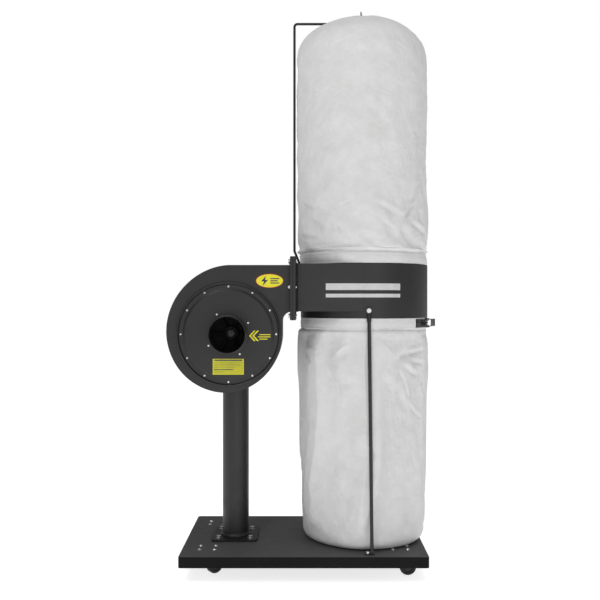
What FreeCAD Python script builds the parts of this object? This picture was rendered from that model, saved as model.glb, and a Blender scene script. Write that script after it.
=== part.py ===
"""Single-stage dust collector: a motor-driven blower on a post, blowing into a drum between two cloth bags.

Millimetres. +X runs from the blower to the bags, +Y from the inlet side to the back, +Z up.
The origin is on the floor under the middle of the base. One STEP file is written for each sub-part.
"""
import FreeCAD, Part
import math
import os
from FreeCAD import Vector as V

# ---------------------------------------------------------------- driving dimensions
BASE_WIDTH, BASE_DEPTH = 675.0, 400.0
BASE_TOP, BASE_SHEET, SKIRT_HEIGHT = 74.0, 2.5, 30.0

CASTER_X, CASTER_Y = 267.0, 120.0
CASTER_BOLT_X, CASTER_BOLT_Y = 21.0, 16.5
CASTER_PLATE = 2.5
WHEEL_RADIUS, WHEEL_WIDTH, TRAIL = 23.0, 18.0, 22.0
FORK_TOP = 61.5
# direction in which each caster trails, degrees from +X
TRAIL_ANGLE = {"front_left": 38.0, "front_right": 0.0, "rear_left": -25.0, "rear_right": 65.0}

BLOWER_X, BLOWER_Z = -204.0, 670.0
POST_RADIUS, POST_WALL = 38.0, 3.0
FOOT_SIZE, FOOT_THICK, FOOT_BOLT = 130.0, 6.0, 45.0
POST_X, POST_Y = -199.0, -6.0
POST_TOP = 577.0
SADDLE_THICK = 8.0
SADDLE_Y = 20.0

VOLUTE_FRONT, VOLUTE_BACK = -173.0, -60.0
VOLUTE_SHEET, WRAPPER_SHEET = 3.0, 2.5
# radius of the scroll at each angle, clockwise from +X
SCROLL_RADII = {0: 145.0, 25: 146.3, 60: 152.3, 90: 158.8, 135: 164.0,
                180: 169.0, 215: 174.4, 245: 181.8, 270: 188.0}
SCROLL_START, SCROLL_END = SCROLL_RADII[0], SCROLL_RADII[270]
OUTLET_LOW = 61.0
OUTLET_END = -37.0
TONGUE_RADIUS = 27.0
COVER_HOLE, COVER_BOLT_CIRCLE, COVER_SCREWS = 122.0, 129.5, 12
COVER_RADIUS, COVER_FACE, COVER_BEAD = 141.8, -179.0, 5.8
PORT_RADIUS, PORT_WALL, PORT_LENGTH = 50.0, 1.5, 44.0
PORT_ROOT, PORT_ROOT_LENGTH = 53.0, 6.0
PORT_BOLT_CIRCLE = 62.0

IMPELLER_RADIUS, IMPELLER_BLADES, IMPELLER_BACK = 115.0, 6, -71.0
MOTOR_RADIUS, MOTOR_SHELL = 70.0, 3.0
MOTOR_FRONT, MOTOR_SHELL_START, MOTOR_SHELL_END, MOTOR_BELL_END, COWL_END = -60.0, -46.0, 115.0, 128.0, 178.0
SHAFT_RADIUS = 9.5
BEARING_INNER, BEARING_OUTER, BEARING_WIDTH = 10.0, 23.5, 14.0
FRONT_BEARING, REAR_BEARING = -45.0, 101.0
MOTOR_FACE_BOLT = 52.0
SWITCH_Y, SWITCH_Z, ROCKER_TILT = 62.0, 672.0, 10.0
GLAND_X, GLAND_Z = -292.0, 655.0

FLANGE_LIP, FLANGE_THICK, FLANGE_ROLL = 23.0, 7.0, 2.4
GASKET_THICK, DRUM_FLANGE_DEPTH, SEAL_WIDTH = 1.5, 7.5, 6.0

DRUM_X, DRUM_Y = 177.0, 13.0
DRUM_RADIUS, DRUM_SHEET, COLLAR_RADIUS = 186.0, 2.0, 178.5
DRUM_BOTTOM, DRUM_TOP, COLLAR_HEIGHT = 713.0, 864.0, 30.0
DUCT_BOTTOM, DUCT_TOP = 732.0, 862.0
DUCT_TAPER = 16.0      # the duct's front wall ends this far before the tangent point

FABRIC = 2.2
LOWER_BAG_RADIUS, LOWER_BAG_FOOT, UPPER_BAG_RADIUS = 184.5, 180.0, 191.0
DOME_START, DOME_HEIGHT = 1468.0, 115.0
BAG_CORNER = 25.0

STRAP_INNER, STRAP_OUTER, STRAP_WIDTH = 181.4, 182.4, 16.0
LATCH_ANGLE = {"lower": -20.0, "upper": 90.0}
HEM_WINDOW = (-23.5, 15.0)
LATCH_PIVOT = (8.0, 190.5)
LOOP_PIVOT = (20.0, 187.5)
LOOP_REACH = -28.5

ROD_RADIUS, ARM_Z, ROD_OFFSET = 3.6, 1579.5, 204.5
CLIP_Z = (775.0, 840.0)
LEG_RADIUS, LEG_BOLT_Z = 4.75, 734.0
LEG_ANGLES = {"front": -90.0, "rear_right": 50.0, "rear_left": 130.0}
LEG_LEAN = {"front": 8.0, "rear_right": 0.0, "rear_left": 0.0}
LEG_TAB, FOOT_TAB_BOLT = 3.0, 11.6      # tab thickness; foot bolt's distance from the leg's axis
RUN = 0.08         # radial clearance of a pin in its hole
STRIPES = ((790.0, 808.0), (770.0, 780.0))      # heights of the printed bands on the drum
LABEL_THICK = 0.4
BADGE_X, BADGE_Z, BADGE_HALF_WIDTH, BADGE_HALF_HEIGHT = -92.5, 815.0, 37.5, 19.0
NOTICE_HALF_WIDTH, NOTICE_LOW, NOTICE_HIGH = 42.0, 561.0, 603.5

X, Y, Z = V(1, 0, 0), V(0, 1, 0), V(0, 0, 1)
parts = {}


# ---------------------------------------------------------------- helpers
def box(x0, x1, y0, y1, z0, z1):
    return Part.makeBox(x1 - x0, y1 - y0, z1 - z0, V(x0, y0, z0))


def rod(start, direction, radius, length):
    return Part.makeCylinder(radius, length, V(*start), direction)


def tube(start, direction, outer, inner, length):
    return rod(start, direction, outer, length).cut(rod(start, direction, inner, length))


def fuse(shapes):
    """One solid out of shapes that overlap or share faces."""
    first, *rest = shapes
    return first.fuse(rest).removeSplitter() if rest else first


def group(shapes):
    """Separate solids that share one node."""
    return Part.makeCompound([s for shape in shapes for s in shape.Solids])


def polygon(points, extrusion):
    """A straight-sided prism; points are (x, y, z)."""
    loop = [V(*p) for p in points]
    return Part.Face(Part.makePolygon(loop + loop[:1])).extrude(extrusion)


def about_y(points, x=BLOWER_X, z=BLOWER_Z):
    """Solid of revolution about the blower axis; points are (radius, y)."""
    loop = [V(x + r, y, z) for r, y in points]
    return Part.Face(Part.makePolygon(loop + loop[:1])).revolve(V(x, 0, z), Y, 360)


def about_drum(edges):
    """Solid of revolution about the drum's axis from a closed profile of edges at y = DRUM_Y."""
    face = Part.Face(Part.Wire(Part.__sortEdges__(edges)))
    return face.revolve(V(DRUM_X, DRUM_Y, 0), Z, 360)


def drum_point(radius, z):
    return V(DRUM_X + radius, DRUM_Y, z)


def lines(points):
    """Edges of an open polyline; points are (radius, z) about the drum's axis."""
    corners = [drum_point(*p) for p in points]
    return [Part.LineSegment(a, b).toShape() for a, b in zip(corners, corners[1:])]


def turn_drum(shape, angle):
    """A copy turned about the drum's axis."""
    turned = shape.copy()
    turned.rotate(V(DRUM_X, DRUM_Y, 0), Z, angle)
    return turned


def sector(inner, outer, z0, z1, start, end):
    """Part of a ring about the drum's axis, between two angles in degrees."""
    wedge = Part.makeCylinder(outer, z1 - z0, V(DRUM_X, DRUM_Y, z0), Z, end - start)
    wedge.rotate(V(DRUM_X, DRUM_Y, 0), Z, start)
    return wedge.cut(rod((DRUM_X, DRUM_Y, z0 - 1), Z, inner, z1 - z0 + 2))


def at_blower(radius, angle, y):
    """A point at an angle about the blower axis, from +X towards +Z."""
    a = math.radians(angle)
    return (BLOWER_X + radius * math.cos(a), y, BLOWER_Z + radius * math.sin(a))


def hex_nut(seat, direction, radius):
    """A nut on a screw of the given radius, standing on seat along direction."""
    height = 1.3 * radius
    nut = hex_prism(seat, direction, 3.2 * radius, height)
    return nut.cut(rod(V(*seat) - direction, direction, radius + 0.02, height + 2))


def hex_prism(centre, direction, across, length):
    """A hexagonal head or nut standing on centre along direction."""
    radius = across / math.sqrt(3)
    corners = [V(radius * math.cos(math.radians(60 * k)), radius * math.sin(math.radians(60 * k)), 0)
               for k in range(6)]
    prism = Part.Face(Part.makePolygon(corners + corners[:1])).extrude(V(0, 0, length))
    prism.Placement = FreeCAD.Placement(V(*centre), FreeCAD.Rotation(Z, direction))
    return prism


def bolt(head, direction, radius, grip, washer=1.2):
    """Hex bolt with washer and nut. head is where the washer sits; direction points from head to nut."""
    start = V(*head)
    back = direction * -1
    across, height = 3.2 * radius, 1.3 * radius
    shank = rod(start, direction, radius, grip + washer + height + 1.5)
    cap = hex_prism(start + back * washer, back, across, height)
    flat = rod(start, back, 2.1 * radius, washer)
    body = fuse([shank, cap, flat])
    return [body, hex_nut(start + direction * grip, direction, radius)]


def dome_screw(seat, direction, radius, length):
    """Round-headed screw. seat is on the outer face; direction points into the material."""
    head_radius, height = 1.9 * radius, 1.3 * radius
    ball = (head_radius ** 2 + height ** 2) / (2 * height)
    centre = V(*seat) + direction * (ball - height)
    head = Part.makeSphere(ball, centre).common(rod(seat, direction * -1, head_radius + 1, height))
    return fuse([head, rod(seat, direction, radius, length)])


def rounded_path(points, radius):
    """A wire of straight runs joined by tangent arcs of one radius."""
    corners = [V(*p) for p in points]
    edges, here = [], corners[0]
    for before, corner, after in zip(corners, corners[1:], corners[2:]):
        a, b = (before - corner).normalize(), (after - corner).normalize()
        half = a.getAngle(b) / 2
        reach = radius / math.tan(half)
        start, end = corner + a * reach, corner + b * reach
        middle = corner + (a + b).normalize() * (radius / math.sin(half) - radius)
        edges.append(Part.LineSegment(here, start).toShape())
        edges.append(Part.Arc(start, middle, end).toShape())
        here = end
    edges.append(Part.LineSegment(here, corners[-1]).toShape())
    return Part.Wire(edges)


def wire_rod(points, bend, radius):
    """A round bar bent along rounded_path."""
    path = rounded_path(points, bend)
    direction = V(*points[1]) - V(*points[0])
    ring = Part.Wire(Part.makeCircle(radius, V(*points[0]), direction))
    return path.makePipeShell([ring], True, False)


# ---------------------------------------------------------------- base and casters
def caster_places():
    return {f"{row}_{side}": (sx * CASTER_X, sy * CASTER_Y)
            for row, sy in (("front", -1), ("rear", 1)) for side, sx in (("left", -1), ("right", 1))}


def caster_bolt_places():
    return [(x + i * CASTER_BOLT_X, y + j * CASTER_BOLT_Y)
            for x, y in caster_places().values() for i in (-1, 1) for j in (-1, 1)]


def post_bolt_places():
    return [(POST_X + i * FOOT_BOLT, POST_Y + j * FOOT_BOLT) for i in (-1, 1) for j in (-1, 1)]


def leg_place(angle, along):
    """Where a leg stands on the base, moved anticlockwise about the drum by the given distance."""
    a = math.radians(angle)
    radius = DRUM_RADIUS + LEG_RADIUS + 0.5
    return (DRUM_X + radius * math.cos(a) - along * math.sin(a),
            DRUM_Y + radius * math.sin(a) + along * math.cos(a))


def leg_bolt_places():
    return [leg_place(a, LEG_LEAN[name] - FOOT_TAB_BOLT) for name, a in LEG_ANGLES.items()]


def make_base():
    half_x, half_y, bottom = BASE_WIDTH / 2, BASE_DEPTH / 2, BASE_TOP - SKIRT_HEIGHT
    outer = box(-half_x, half_x, -half_y, half_y, bottom, BASE_TOP)
    upright = [e for e in outer.Edges if abs(e.tangentAt(e.FirstParameter).z) > 0.9]
    outer = outer.makeFillet(8, upright)
    rim = [e for e in outer.Edges if e.BoundBox.ZMin > BASE_TOP - 0.1]
    outer = outer.makeFillet(2.4, rim)
    t = BASE_SHEET
    inner = box(t - half_x, half_x - t, t - half_y, half_y - t, bottom - 1, BASE_TOP - t)
    inner = inner.makeFillet(6, [e for e in inner.Edges if abs(e.tangentAt(e.FirstParameter).z) > 0.9])
    holes = [rod((x, y, BASE_TOP - 5), Z, 3.2, 8) for x, y in caster_bolt_places() + leg_bolt_places()]
    holes += [rod((x, y, BASE_TOP - 5), Z, 4.2, 8) for x, y in post_bolt_places()]
    parts["base_plate"] = outer.cut([inner] + holes)


def make_caster_plates():
    """Top plates with their race cups and kingpins, bolted under the base."""
    under = BASE_TOP - BASE_SHEET
    solids = []
    for x, y in caster_places().values():
        plate = box(x - 30, x + 30, y - 25, y + 25, under - CASTER_PLATE, under)
        plate = plate.makeFillet(6, [e for e in plate.Edges if abs(e.tangentAt(e.FirstParameter).z) > 0.9])
        cup = rod((x, y, FORK_TOP + 0.5), Z, 19, under - CASTER_PLATE - FORK_TOP - 0.5)
        pin = rod((x, y, FORK_TOP - 7), Z, 5, 8)
        head = rod((x, y, FORK_TOP - 8.5), Z, 8, 3)
        body = fuse([plate, cup, pin, head])
        bolt_holes = [rod((x + i * CASTER_BOLT_X, y + j * CASTER_BOLT_Y, under - 4), Z, 3.1, 6)
                      for i in (-1, 1) for j in (-1, 1)]
        solids.append(body.cut(bolt_holes))
    parts["caster_plates"] = group(solids)


def make_caster(name, x, y):
    """Fork with axle, and wheel, built trailing towards +X and then turned."""
    axle_x = x + TRAIL
    inside, leg = WHEEL_WIDTH / 2 + 1.5, 2.0
    crown = rod((x, y, FORK_TOP - 3), Z, 18, 3)
    crown = fuse([crown, box(x - 8, x + 20, y - inside - leg, y + inside + leg, FORK_TOP - 3, FORK_TOP)])
    crown = crown.cut(rod((x, y, FORK_TOP - 4), Z, 5 + RUN, 6))
    sides = []
    for y0 in (y - inside - leg, y + inside):
        web = polygon([(x - 8, y0, FORK_TOP - 1), (x + 20, y0, FORK_TOP - 1),
                       (axle_x + 8, y0, WHEEL_RADIUS), (axle_x - 8, y0, WHEEL_RADIUS)], V(0, leg, 0))
        sides += [web, rod((axle_x, y0, WHEEL_RADIUS), Y, 8, leg)]
    fork = fuse([crown] + sides)
    fork = fork.cut(rod((axle_x, y - 20, WHEEL_RADIUS), Y, 3.05, 40))
    reach = inside + leg
    axle = fuse([rod((axle_x, y - reach - 3, WHEEL_RADIUS), Y, 3, 2 * reach + 6),
                 hex_prism((axle_x, y - reach, WHEEL_RADIUS), Y * -1, 10, 3.5),
                 hex_prism((axle_x, y + reach, WHEEL_RADIUS), Y, 10, 4)])
    half = WHEEL_WIDTH / 2
    profile = [(3 + RUN, -half - 1), (7, -half - 1), (7, -half + 2), (15, -half + 2), (16, -half),
               (WHEEL_RADIUS - 1.5, -half), (WHEEL_RADIUS, -half + 2.5)]
    profile += [(r, -v) for r, v in reversed(profile)]
    loop = [V(axle_x + r, y + v, WHEEL_RADIUS) for r, v in profile]
    wheel = Part.Face(Part.makePolygon(loop + loop[:1])).revolve(V(axle_x, y, WHEEL_RADIUS), Y, 360)
    for shape in (fork, axle, wheel):
        shape.rotate(V(x, y, 0), Z, TRAIL_ANGLE[name])
    parts[f"{name}_fork"] = group([fork, axle])
    parts[f"{name}_wheel"] = wheel


def make_base_bolts():
    """Caster bolts and leg bolts: one size, so one group."""
    under = BASE_SHEET + CASTER_PLATE
    solids = []
    for x, y in caster_bolt_places():
        solids.append(dome_screw((x, y, BASE_TOP), Z * -1, 3, under + 6))
        solids.append(hex_nut((x, y, BASE_TOP - under), Z * -1, 3))
    for x, y in leg_bolt_places():
        solids += bolt((x, y, BASE_TOP + LEG_TAB), Z * -1, 3, BASE_SHEET + LEG_TAB)
    for angle in LEG_ANGLES.values():
        out = V(math.cos(math.radians(angle)), math.sin(math.radians(angle)), 0)
        seat = V(DRUM_X, DRUM_Y, LEG_BOLT_Z) + out * (DRUM_RADIUS + LEG_TAB)
        solids += bolt(seat, out * -1, 3, DRUM_SHEET + LEG_TAB + 0.2)
    parts["base_bolts"] = group(solids)


# ---------------------------------------------------------------- post and motor
def make_post():
    floor = BASE_TOP + FOOT_THICK
    half = FOOT_SIZE / 2
    foot = box(POST_X - half, POST_X + half, POST_Y - half, POST_Y + half, BASE_TOP, floor)
    foot = foot.makeFillet(10, [e for e in foot.Edges if abs(e.tangentAt(e.FirstParameter).z) > 0.9])
    weld_profile = [(POST_RADIUS + 0.05, floor - 1), (POST_RADIUS + 5, floor - 1), (POST_RADIUS + 5, floor + 3),
                    (POST_RADIUS + 2, floor + 9), (POST_RADIUS + 0.05, floor + 9)]
    loop = [V(POST_X + r, POST_Y, z) for r, z in weld_profile]
    weld = Part.Face(Part.makePolygon(loop + loop[:1])).revolve(V(POST_X, POST_Y, 0), Z, 360)
    foot = fuse([foot, weld])
    parts["post_foot_plate"] = foot.cut([rod((x, y, BASE_TOP - 1), Z, 4.2, 9) for x, y in post_bolt_places()])
    parts["post_tube"] = tube((POST_X, POST_Y, floor), Z, POST_RADIUS, POST_RADIUS - POST_WALL, POST_TOP - floor)
    top = box(BLOWER_X - 64, BLOWER_X + 64, SADDLE_Y - 62, SADDLE_Y + 62, POST_TOP, POST_TOP + SADDLE_THICK)
    top = top.makeFillet(8, [e for e in top.Edges if abs(e.tangentAt(e.FirstParameter).z) > 0.9])
    side, inner = POST_X - 3, POST_Y + POST_RADIUS + 0.3
    gusset = polygon([(side, inner, POST_TOP - 36), (side, inner, POST_TOP), (side, inner + 36, POST_TOP)],
                     V(6, 0, 0))
    saddle = fuse([top, gusset])
    parts["post_saddle"] = saddle.cut([rod((x, y, POST_TOP - 1), Z, 4.2, 12) for x, y in motor_bolt_places()])


def motor_bolt_places():
    return [(BLOWER_X + i * 52, SADDLE_Y + j * 46) for i in (-1, 1) for j in (-1, 1)]


def make_motor_foot():
    low = POST_TOP + SADDLE_THICK
    plate = box(BLOWER_X - 62, BLOWER_X + 62, SADDLE_Y - 58, SADDLE_Y + 58, low, low + 4)
    webs = [box(BLOWER_X - 38, BLOWER_X + 38, y, y + 5, low + 3, BLOWER_Z) for y in (SADDLE_Y - 40, SADDLE_Y + 35)]
    foot = fuse([plate] + webs)
    foot = foot.cut(rod((BLOWER_X, -200, BLOWER_Z), Y, MOTOR_RADIUS + 0.02, 400))
    parts["motor_foot"] = foot.cut([rod((x, y, low - 1), Z, 4.2, 8) for x, y in motor_bolt_places()])
    solids = []
    for x, y in post_bolt_places():
        solids += bolt((x, y, BASE_TOP + FOOT_THICK), Z * -1, 4, FOOT_THICK + BASE_SHEET, washer=1.6)
    for x, y in motor_bolt_places():
        solids += bolt((x, y, low + 4), Z * -1, 4, SADDLE_THICK + 4, washer=1.6)
    parts["post_bolts"] = group(solids)


def face_bolt_places():
    return [at_blower(MOTOR_FACE_BOLT, 45 + 90 * k, VOLUTE_BACK - VOLUTE_SHEET) for k in range(4)]


def make_motor():
    axis = (BLOWER_X, 0, BLOWER_Z)
    parts["motor_frame"] = tube((BLOWER_X, MOTOR_SHELL_START, BLOWER_Z), Y, MOTOR_RADIUS,
                                MOTOR_RADIUS - MOTOR_SHELL, MOTOR_SHELL_END - MOTOR_SHELL_START)
    front = about_y([(10.8, MOTOR_FRONT), (MOTOR_RADIUS, MOTOR_FRONT), (MOTOR_RADIUS, MOTOR_SHELL_START),
                     (29, MOTOR_SHELL_START), (29, FRONT_BEARING + 15), (BEARING_OUTER, FRONT_BEARING + 15),
                     (BEARING_OUTER, FRONT_BEARING), (10.8, FRONT_BEARING)])
    sockets = [rod((x, MOTOR_FRONT - 1, z), Y, 3.02, 12) for x, _, z in face_bolt_places()]
    parts["front_end_bell"] = front.cut(sockets)
    parts["rear_end_bell"] = about_y([(10.8, MOTOR_SHELL_END), (BEARING_OUTER, MOTOR_SHELL_END),
                                      (BEARING_OUTER, REAR_BEARING - 1), (29, REAR_BEARING - 1),
                                      (29, MOTOR_SHELL_END), (MOTOR_RADIUS, MOTOR_SHELL_END),
                                      (MOTOR_RADIUS, MOTOR_BELL_END), (10.8, MOTOR_BELL_END)])
    make_cowl()
    core = tube((BLOWER_X, 0, BLOWER_Z), Y, MOTOR_RADIUS - MOTOR_SHELL - 0.02, 38, 80)
    coils = [about_y([(42, a), (58, a), (60, (a + b) / 2), (58, b), (42, b), (40, (a + b) / 2)])
             for a, b in ((-22, 0), (80, 96))]
    parts["stator"] = group([core] + coils)
    outer, inner = [], []
    for y in (FRONT_BEARING, REAR_BEARING):
        start = (BLOWER_X, y, BLOWER_Z)
        outer.append(tube(start, Y, BEARING_OUTER - 0.02, 19.5, BEARING_WIDTH))
        inner.append(tube(start, Y, 13.5, BEARING_INNER + 0.02, BEARING_WIDTH))
        balls = [Part.makeSphere(2.7, V(*at_blower(16.5, 45 * k, y + BEARING_WIDTH / 2))) for k in range(8)]
        cage = tube((BLOWER_X, y + BEARING_WIDTH / 2 - 1, BLOWER_Z), Y, 17.3, 15.7, 2)
        inner.append(fuse([cage] + balls))
    parts["bearing_outer_races"] = group(outer)
    parts["bearing_inner_races"] = group(inner)
    shaft = about_y([(0, -96), (SHAFT_RADIUS, -96), (SHAFT_RADIUS, -47), (10, -47), (10, -30), (13, -30),
                     (13, 100), (10, 100), (10, 117), (7.5, 117), (7.5, 158), (0, 158)])
    shaft = shaft.cut(rod((BLOWER_X, -97, BLOWER_Z), Y, 3.02, 22))
    rotor = tube((BLOWER_X, 0, BLOWER_Z), Y, 37.6, 13.02, 80)
    parts["motor_rotor"] = group([shaft, rotor])
    fan = [tube((BLOWER_X, 133, BLOWER_Z), Y, 14, 7.52, 24), tube((BLOWER_X, 133, BLOWER_Z), Y, 54, 13, 2.5)]
    for k in range(8):
        blade = box(BLOWER_X + 13, BLOWER_X + 60, 134, 155, BLOWER_Z - 1, BLOWER_Z + 1)
        blade.rotate(V(*axis), Y, 45 * k)
        fan.append(blade)
    parts["cooling_fan"] = fuse(fan)
    bolts = []
    for x, y, z in face_bolt_places():
        bolts.append(fuse([rod((x, y, z), Y, 3, 12), hex_prism((x, y, z), Y * -1, 10, 4)]))
    parts["motor_face_bolts"] = group(bolts)


def make_cowl():
    """Fan cowl: a cup over the rear bell with a ring of air slots in its back."""
    cup = about_y([(MOTOR_RADIUS + 0.05, 119), (MOTOR_RADIUS + 2, 119), (MOTOR_RADIUS + 2, COWL_END - 6),
                   (MOTOR_RADIUS - 4, COWL_END), (0, COWL_END), (0, COWL_END - 2),
                   (MOTOR_RADIUS - 5, COWL_END - 2), (MOTOR_RADIUS + 0.05, COWL_END - 7)])
    slots = []
    for radius, width in ((22, 3), (40, 4), (56, 4)):
        ring = tube((BLOWER_X, COWL_END - 4, BLOWER_Z), Y, radius + width, radius - width, 8)
        spokes = []
        for k in range(4):
            bar = box(BLOWER_X - 80, BLOWER_X + 80, COWL_END - 5, COWL_END + 5, BLOWER_Z - 3, BLOWER_Z + 3)
            bar.rotate(V(BLOWER_X, 0, BLOWER_Z), Y, 45 * k)
            spokes.append(bar)
        slots.append(ring.cut(spokes))
    parts["fan_cowl"] = cup.cut(slots)


def make_motor_boxes():
    """Capacitor housing on top, switch box on the left side, with its rocker and cord gland."""
    def housing(inset):
        half, top = 24 - inset, BLOWER_Z + MOTOR_RADIUS + 20
        low = box(BLOWER_X - half, BLOWER_X + half, 2 + inset, 108 - inset, BLOWER_Z + 40, top)
        return fuse([low, rod((BLOWER_X, 2 + inset, top), Y, half, 106 - 2 * inset)])
    motor = rod((BLOWER_X, -200, BLOWER_Z), Y, MOTOR_RADIUS + 0.02, 400)
    parts["capacitor_cover"] = housing(0).cut([housing(1.5), motor])
    top = BLOWER_Z + MOTOR_RADIUS + 20
    parts["capacitor"] = rod((BLOWER_X, 8, top), Y, 20, 90)

    left = BLOWER_X - MOTOR_RADIUS - 38
    y0, y1, z0, z1, t = 18.0, 92.0, 638.0, 702.0, 2.5
    shell = box(left, BLOWER_X - 40, y0, y1, z0, z1)
    shell = shell.makeFillet(4, [e for e in shell.Edges if e.BoundBox.XMax < left + 0.1])
    room = box(left + t, BLOWER_X - 30, y0 + t, y1 - t, z0 + t, z1 - t)
    window = box(left - 1, left + 4, SWITCH_Y - 12.5, SWITCH_Y + 12.5, SWITCH_Z - 8, SWITCH_Z + 8)
    gland_hole = rod((GLAND_X, y1 - 4, GLAND_Z), Y, 8.1, 5)
    parts["switch_box"] = shell.cut([room, motor, window, gland_hole])
    ring = box(left - 2, left, SWITCH_Y - 15, SWITCH_Y + 15, SWITCH_Z - 10.5, SWITCH_Z + 10.5)
    ring = ring.cut(box(left - 3, left + 1, SWITCH_Y - 12.5, SWITCH_Y + 12.5, SWITCH_Z - 8, SWITCH_Z + 8))
    pivot = left + 3
    cheeks = [box(left - 1, left + 6, y, y + 2.5, SWITCH_Z - 3, SWITCH_Z + 3)
              for y in (SWITCH_Y - 12.5, SWITCH_Y + 10)]
    pins = [rod((pivot, y, SWITCH_Z), Y, 1.5, 5) for y in (SWITCH_Y - 12.5, SWITCH_Y + 7.5)]
    parts["switch_box"] = group([parts["switch_box"], fuse([ring] + cheeks + pins)])
    half = 9.6
    outline = [(-7.2, 6.4), (-6.4, 0), (-7.2, -6.4), (2.5, -5.2), (2.5, 5.2)]
    rocker = polygon([(pivot + x, SWITCH_Y - half, SWITCH_Z + z) for x, z in outline], V(0, 2 * half, 0))
    rocker = rocker.cut([rod((pivot, y, SWITCH_Z), Y, 1.5 + RUN, 4) for y in (SWITCH_Y - 11, SWITCH_Y + 7.3)])
    rocker.rotate(V(pivot, SWITCH_Y, SWITCH_Z), Y, ROCKER_TILT)
    parts["switch_rocker"] = rocker
    body = fuse([rod((GLAND_X, y1 - t - 3, GLAND_Z), Y, 8, 14 + t + 3),
                 hex_prism((GLAND_X, y1, GLAND_Z), Y, 22, 6),
                 hex_prism((GLAND_X, y1 + 7, GLAND_Z), Y, 20, 13),
                 hex_prism((GLAND_X, y1 - t - 4, GLAND_Z), Y, 22, 4)])
    parts["cable_gland"] = body.cut(rod((GLAND_X, y1 - 20, GLAND_Z), Y, 4.5, 60))


# ---------------------------------------------------------------- blower
def volute_face(inset, y, beyond=0.0):
    """The blower's side outline, moved inwards by inset; the outlet end is moved out by beyond."""
    def at(x, z):
        return V(BLOWER_X + x, y, BLOWER_Z + z)
    end = OUTLET_END - BLOWER_X + beyond
    spiral = []
    for clockwise, radius in SCROLL_RADII.items():
        angle = -math.radians(clockwise)
        spiral.append(at((radius - inset) * math.cos(angle), (radius - inset) * math.sin(angle)))
    curve = Part.BSplineCurve()
    curve.interpolate(spiral)
    fillet = TONGUE_RADIUS + inset
    centre_x, centre_z = SCROLL_START + TONGUE_RADIUS, OUTLET_LOW - TONGUE_RADIUS
    below = at(centre_x, centre_z + fillet)
    side = at(centre_x - fillet, centre_z)
    middle = at(centre_x - fillet * math.sqrt(0.5), centre_z + fillet * math.sqrt(0.5))
    corner_top, corner_low = at(end, SCROLL_END - inset), at(end, centre_z + fillet)
    edges = [curve.toShape(), Part.LineSegment(spiral[-1], corner_top).toShape(),
             Part.LineSegment(corner_top, corner_low).toShape()]
    if (corner_low - below).Length > 0.01:
        edges.append(Part.LineSegment(corner_low, below).toShape())
    edges += [Part.Arc(below, middle, side).toShape(), Part.LineSegment(side, spiral[0]).toShape()]
    return Part.Face(Part.Wire(edges))


def make_volute():
    deep = V(0, VOLUTE_SHEET, 0)
    screws = [rod(at_blower(COVER_BOLT_CIRCLE, 30 * k, VOLUTE_FRONT - 1), Y, 2.6, 8) for k in range(COVER_SCREWS)]
    mouth = rod((BLOWER_X, VOLUTE_FRONT - 1, BLOWER_Z), Y, COVER_HOLE, 8)
    trim = box(OUTLET_END, OUTLET_END + 20, -300, 300, 600, 900)
    front = volute_face(0, VOLUTE_FRONT).extrude(deep)
    parts["volute_front_plate"] = front.cut(screws + [mouth, trim])
    back = volute_face(0, VOLUTE_BACK - VOLUTE_SHEET).extrude(deep)
    holes = [rod((x, y - 1, z), Y, 3.1, 8) for x, y, z in face_bolt_places()]
    eye = rod((BLOWER_X, VOLUTE_BACK - 5, BLOWER_Z), Y, 14, 8)
    parts["volute_back_plate"] = back.cut(holes + [eye, trim])
    start, width = VOLUTE_FRONT + VOLUTE_SHEET, VOLUTE_BACK - VOLUTE_FRONT - 2 * VOLUTE_SHEET
    outside = volute_face(0, start).extrude(V(0, width, 0))
    inside = volute_face(WRAPPER_SHEET, start - 1, beyond=10).extrude(V(0, width + 2, 0))
    parts["volute_wrapper"] = outside.cut([inside, trim])


def make_inlet():
    hole = PORT_ROOT + 0.1
    face, ring = COVER_FACE, VOLUTE_FRONT - 2.5
    cover = about_y([(hole, face), (118, face), (124.5, ring), (134.5, ring), (137.4, ring - COVER_BEAD + 0.8),
                     (139, ring - COVER_BEAD), (140.8, ring - COVER_BEAD + 1.2), (COVER_RADIUS, ring - 1),
                     (COVER_RADIUS, VOLUTE_FRONT), (123.5, VOLUTE_FRONT),
                     (117.3, face + 2.5), (hole, face + 2.5)])
    screw_places = [at_blower(COVER_BOLT_CIRCLE, 30 * k, ring) for k in range(COVER_SCREWS)]
    port_places = [at_blower(PORT_BOLT_CIRCLE, 30 + 90 * k, face) for k in range(4)]
    holes = [rod((x, y - 1, z), Y, 2.6, 8) for x, y, z in screw_places + port_places]
    parts["inlet_cover"] = cover.cut(holes)
    inside = PORT_RADIUS - PORT_WALL
    back = face + 2.5
    collar = about_y([(inside, face - PORT_LENGTH), (PORT_RADIUS - 0.5, face - PORT_LENGTH),
                      (PORT_RADIUS, face - PORT_LENGTH + 0.5), (PORT_RADIUS, face - PORT_ROOT_LENGTH),
                      (PORT_ROOT, face - PORT_ROOT_LENGTH + 2), (PORT_ROOT, back), (72, back), (72, back + 2),
                      (inside, back + 2)])
    parts["inlet_collar"] = collar.cut([rod((x, y - 1, z), Y, 2.6, 12) for x, y, z in port_places])
    screws = [dome_screw(p, Y, 2.5, 9) for p in screw_places] + [dome_screw(p, Y, 2.5, 8) for p in port_places]
    parts["cover_screws"] = group(screws)


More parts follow.
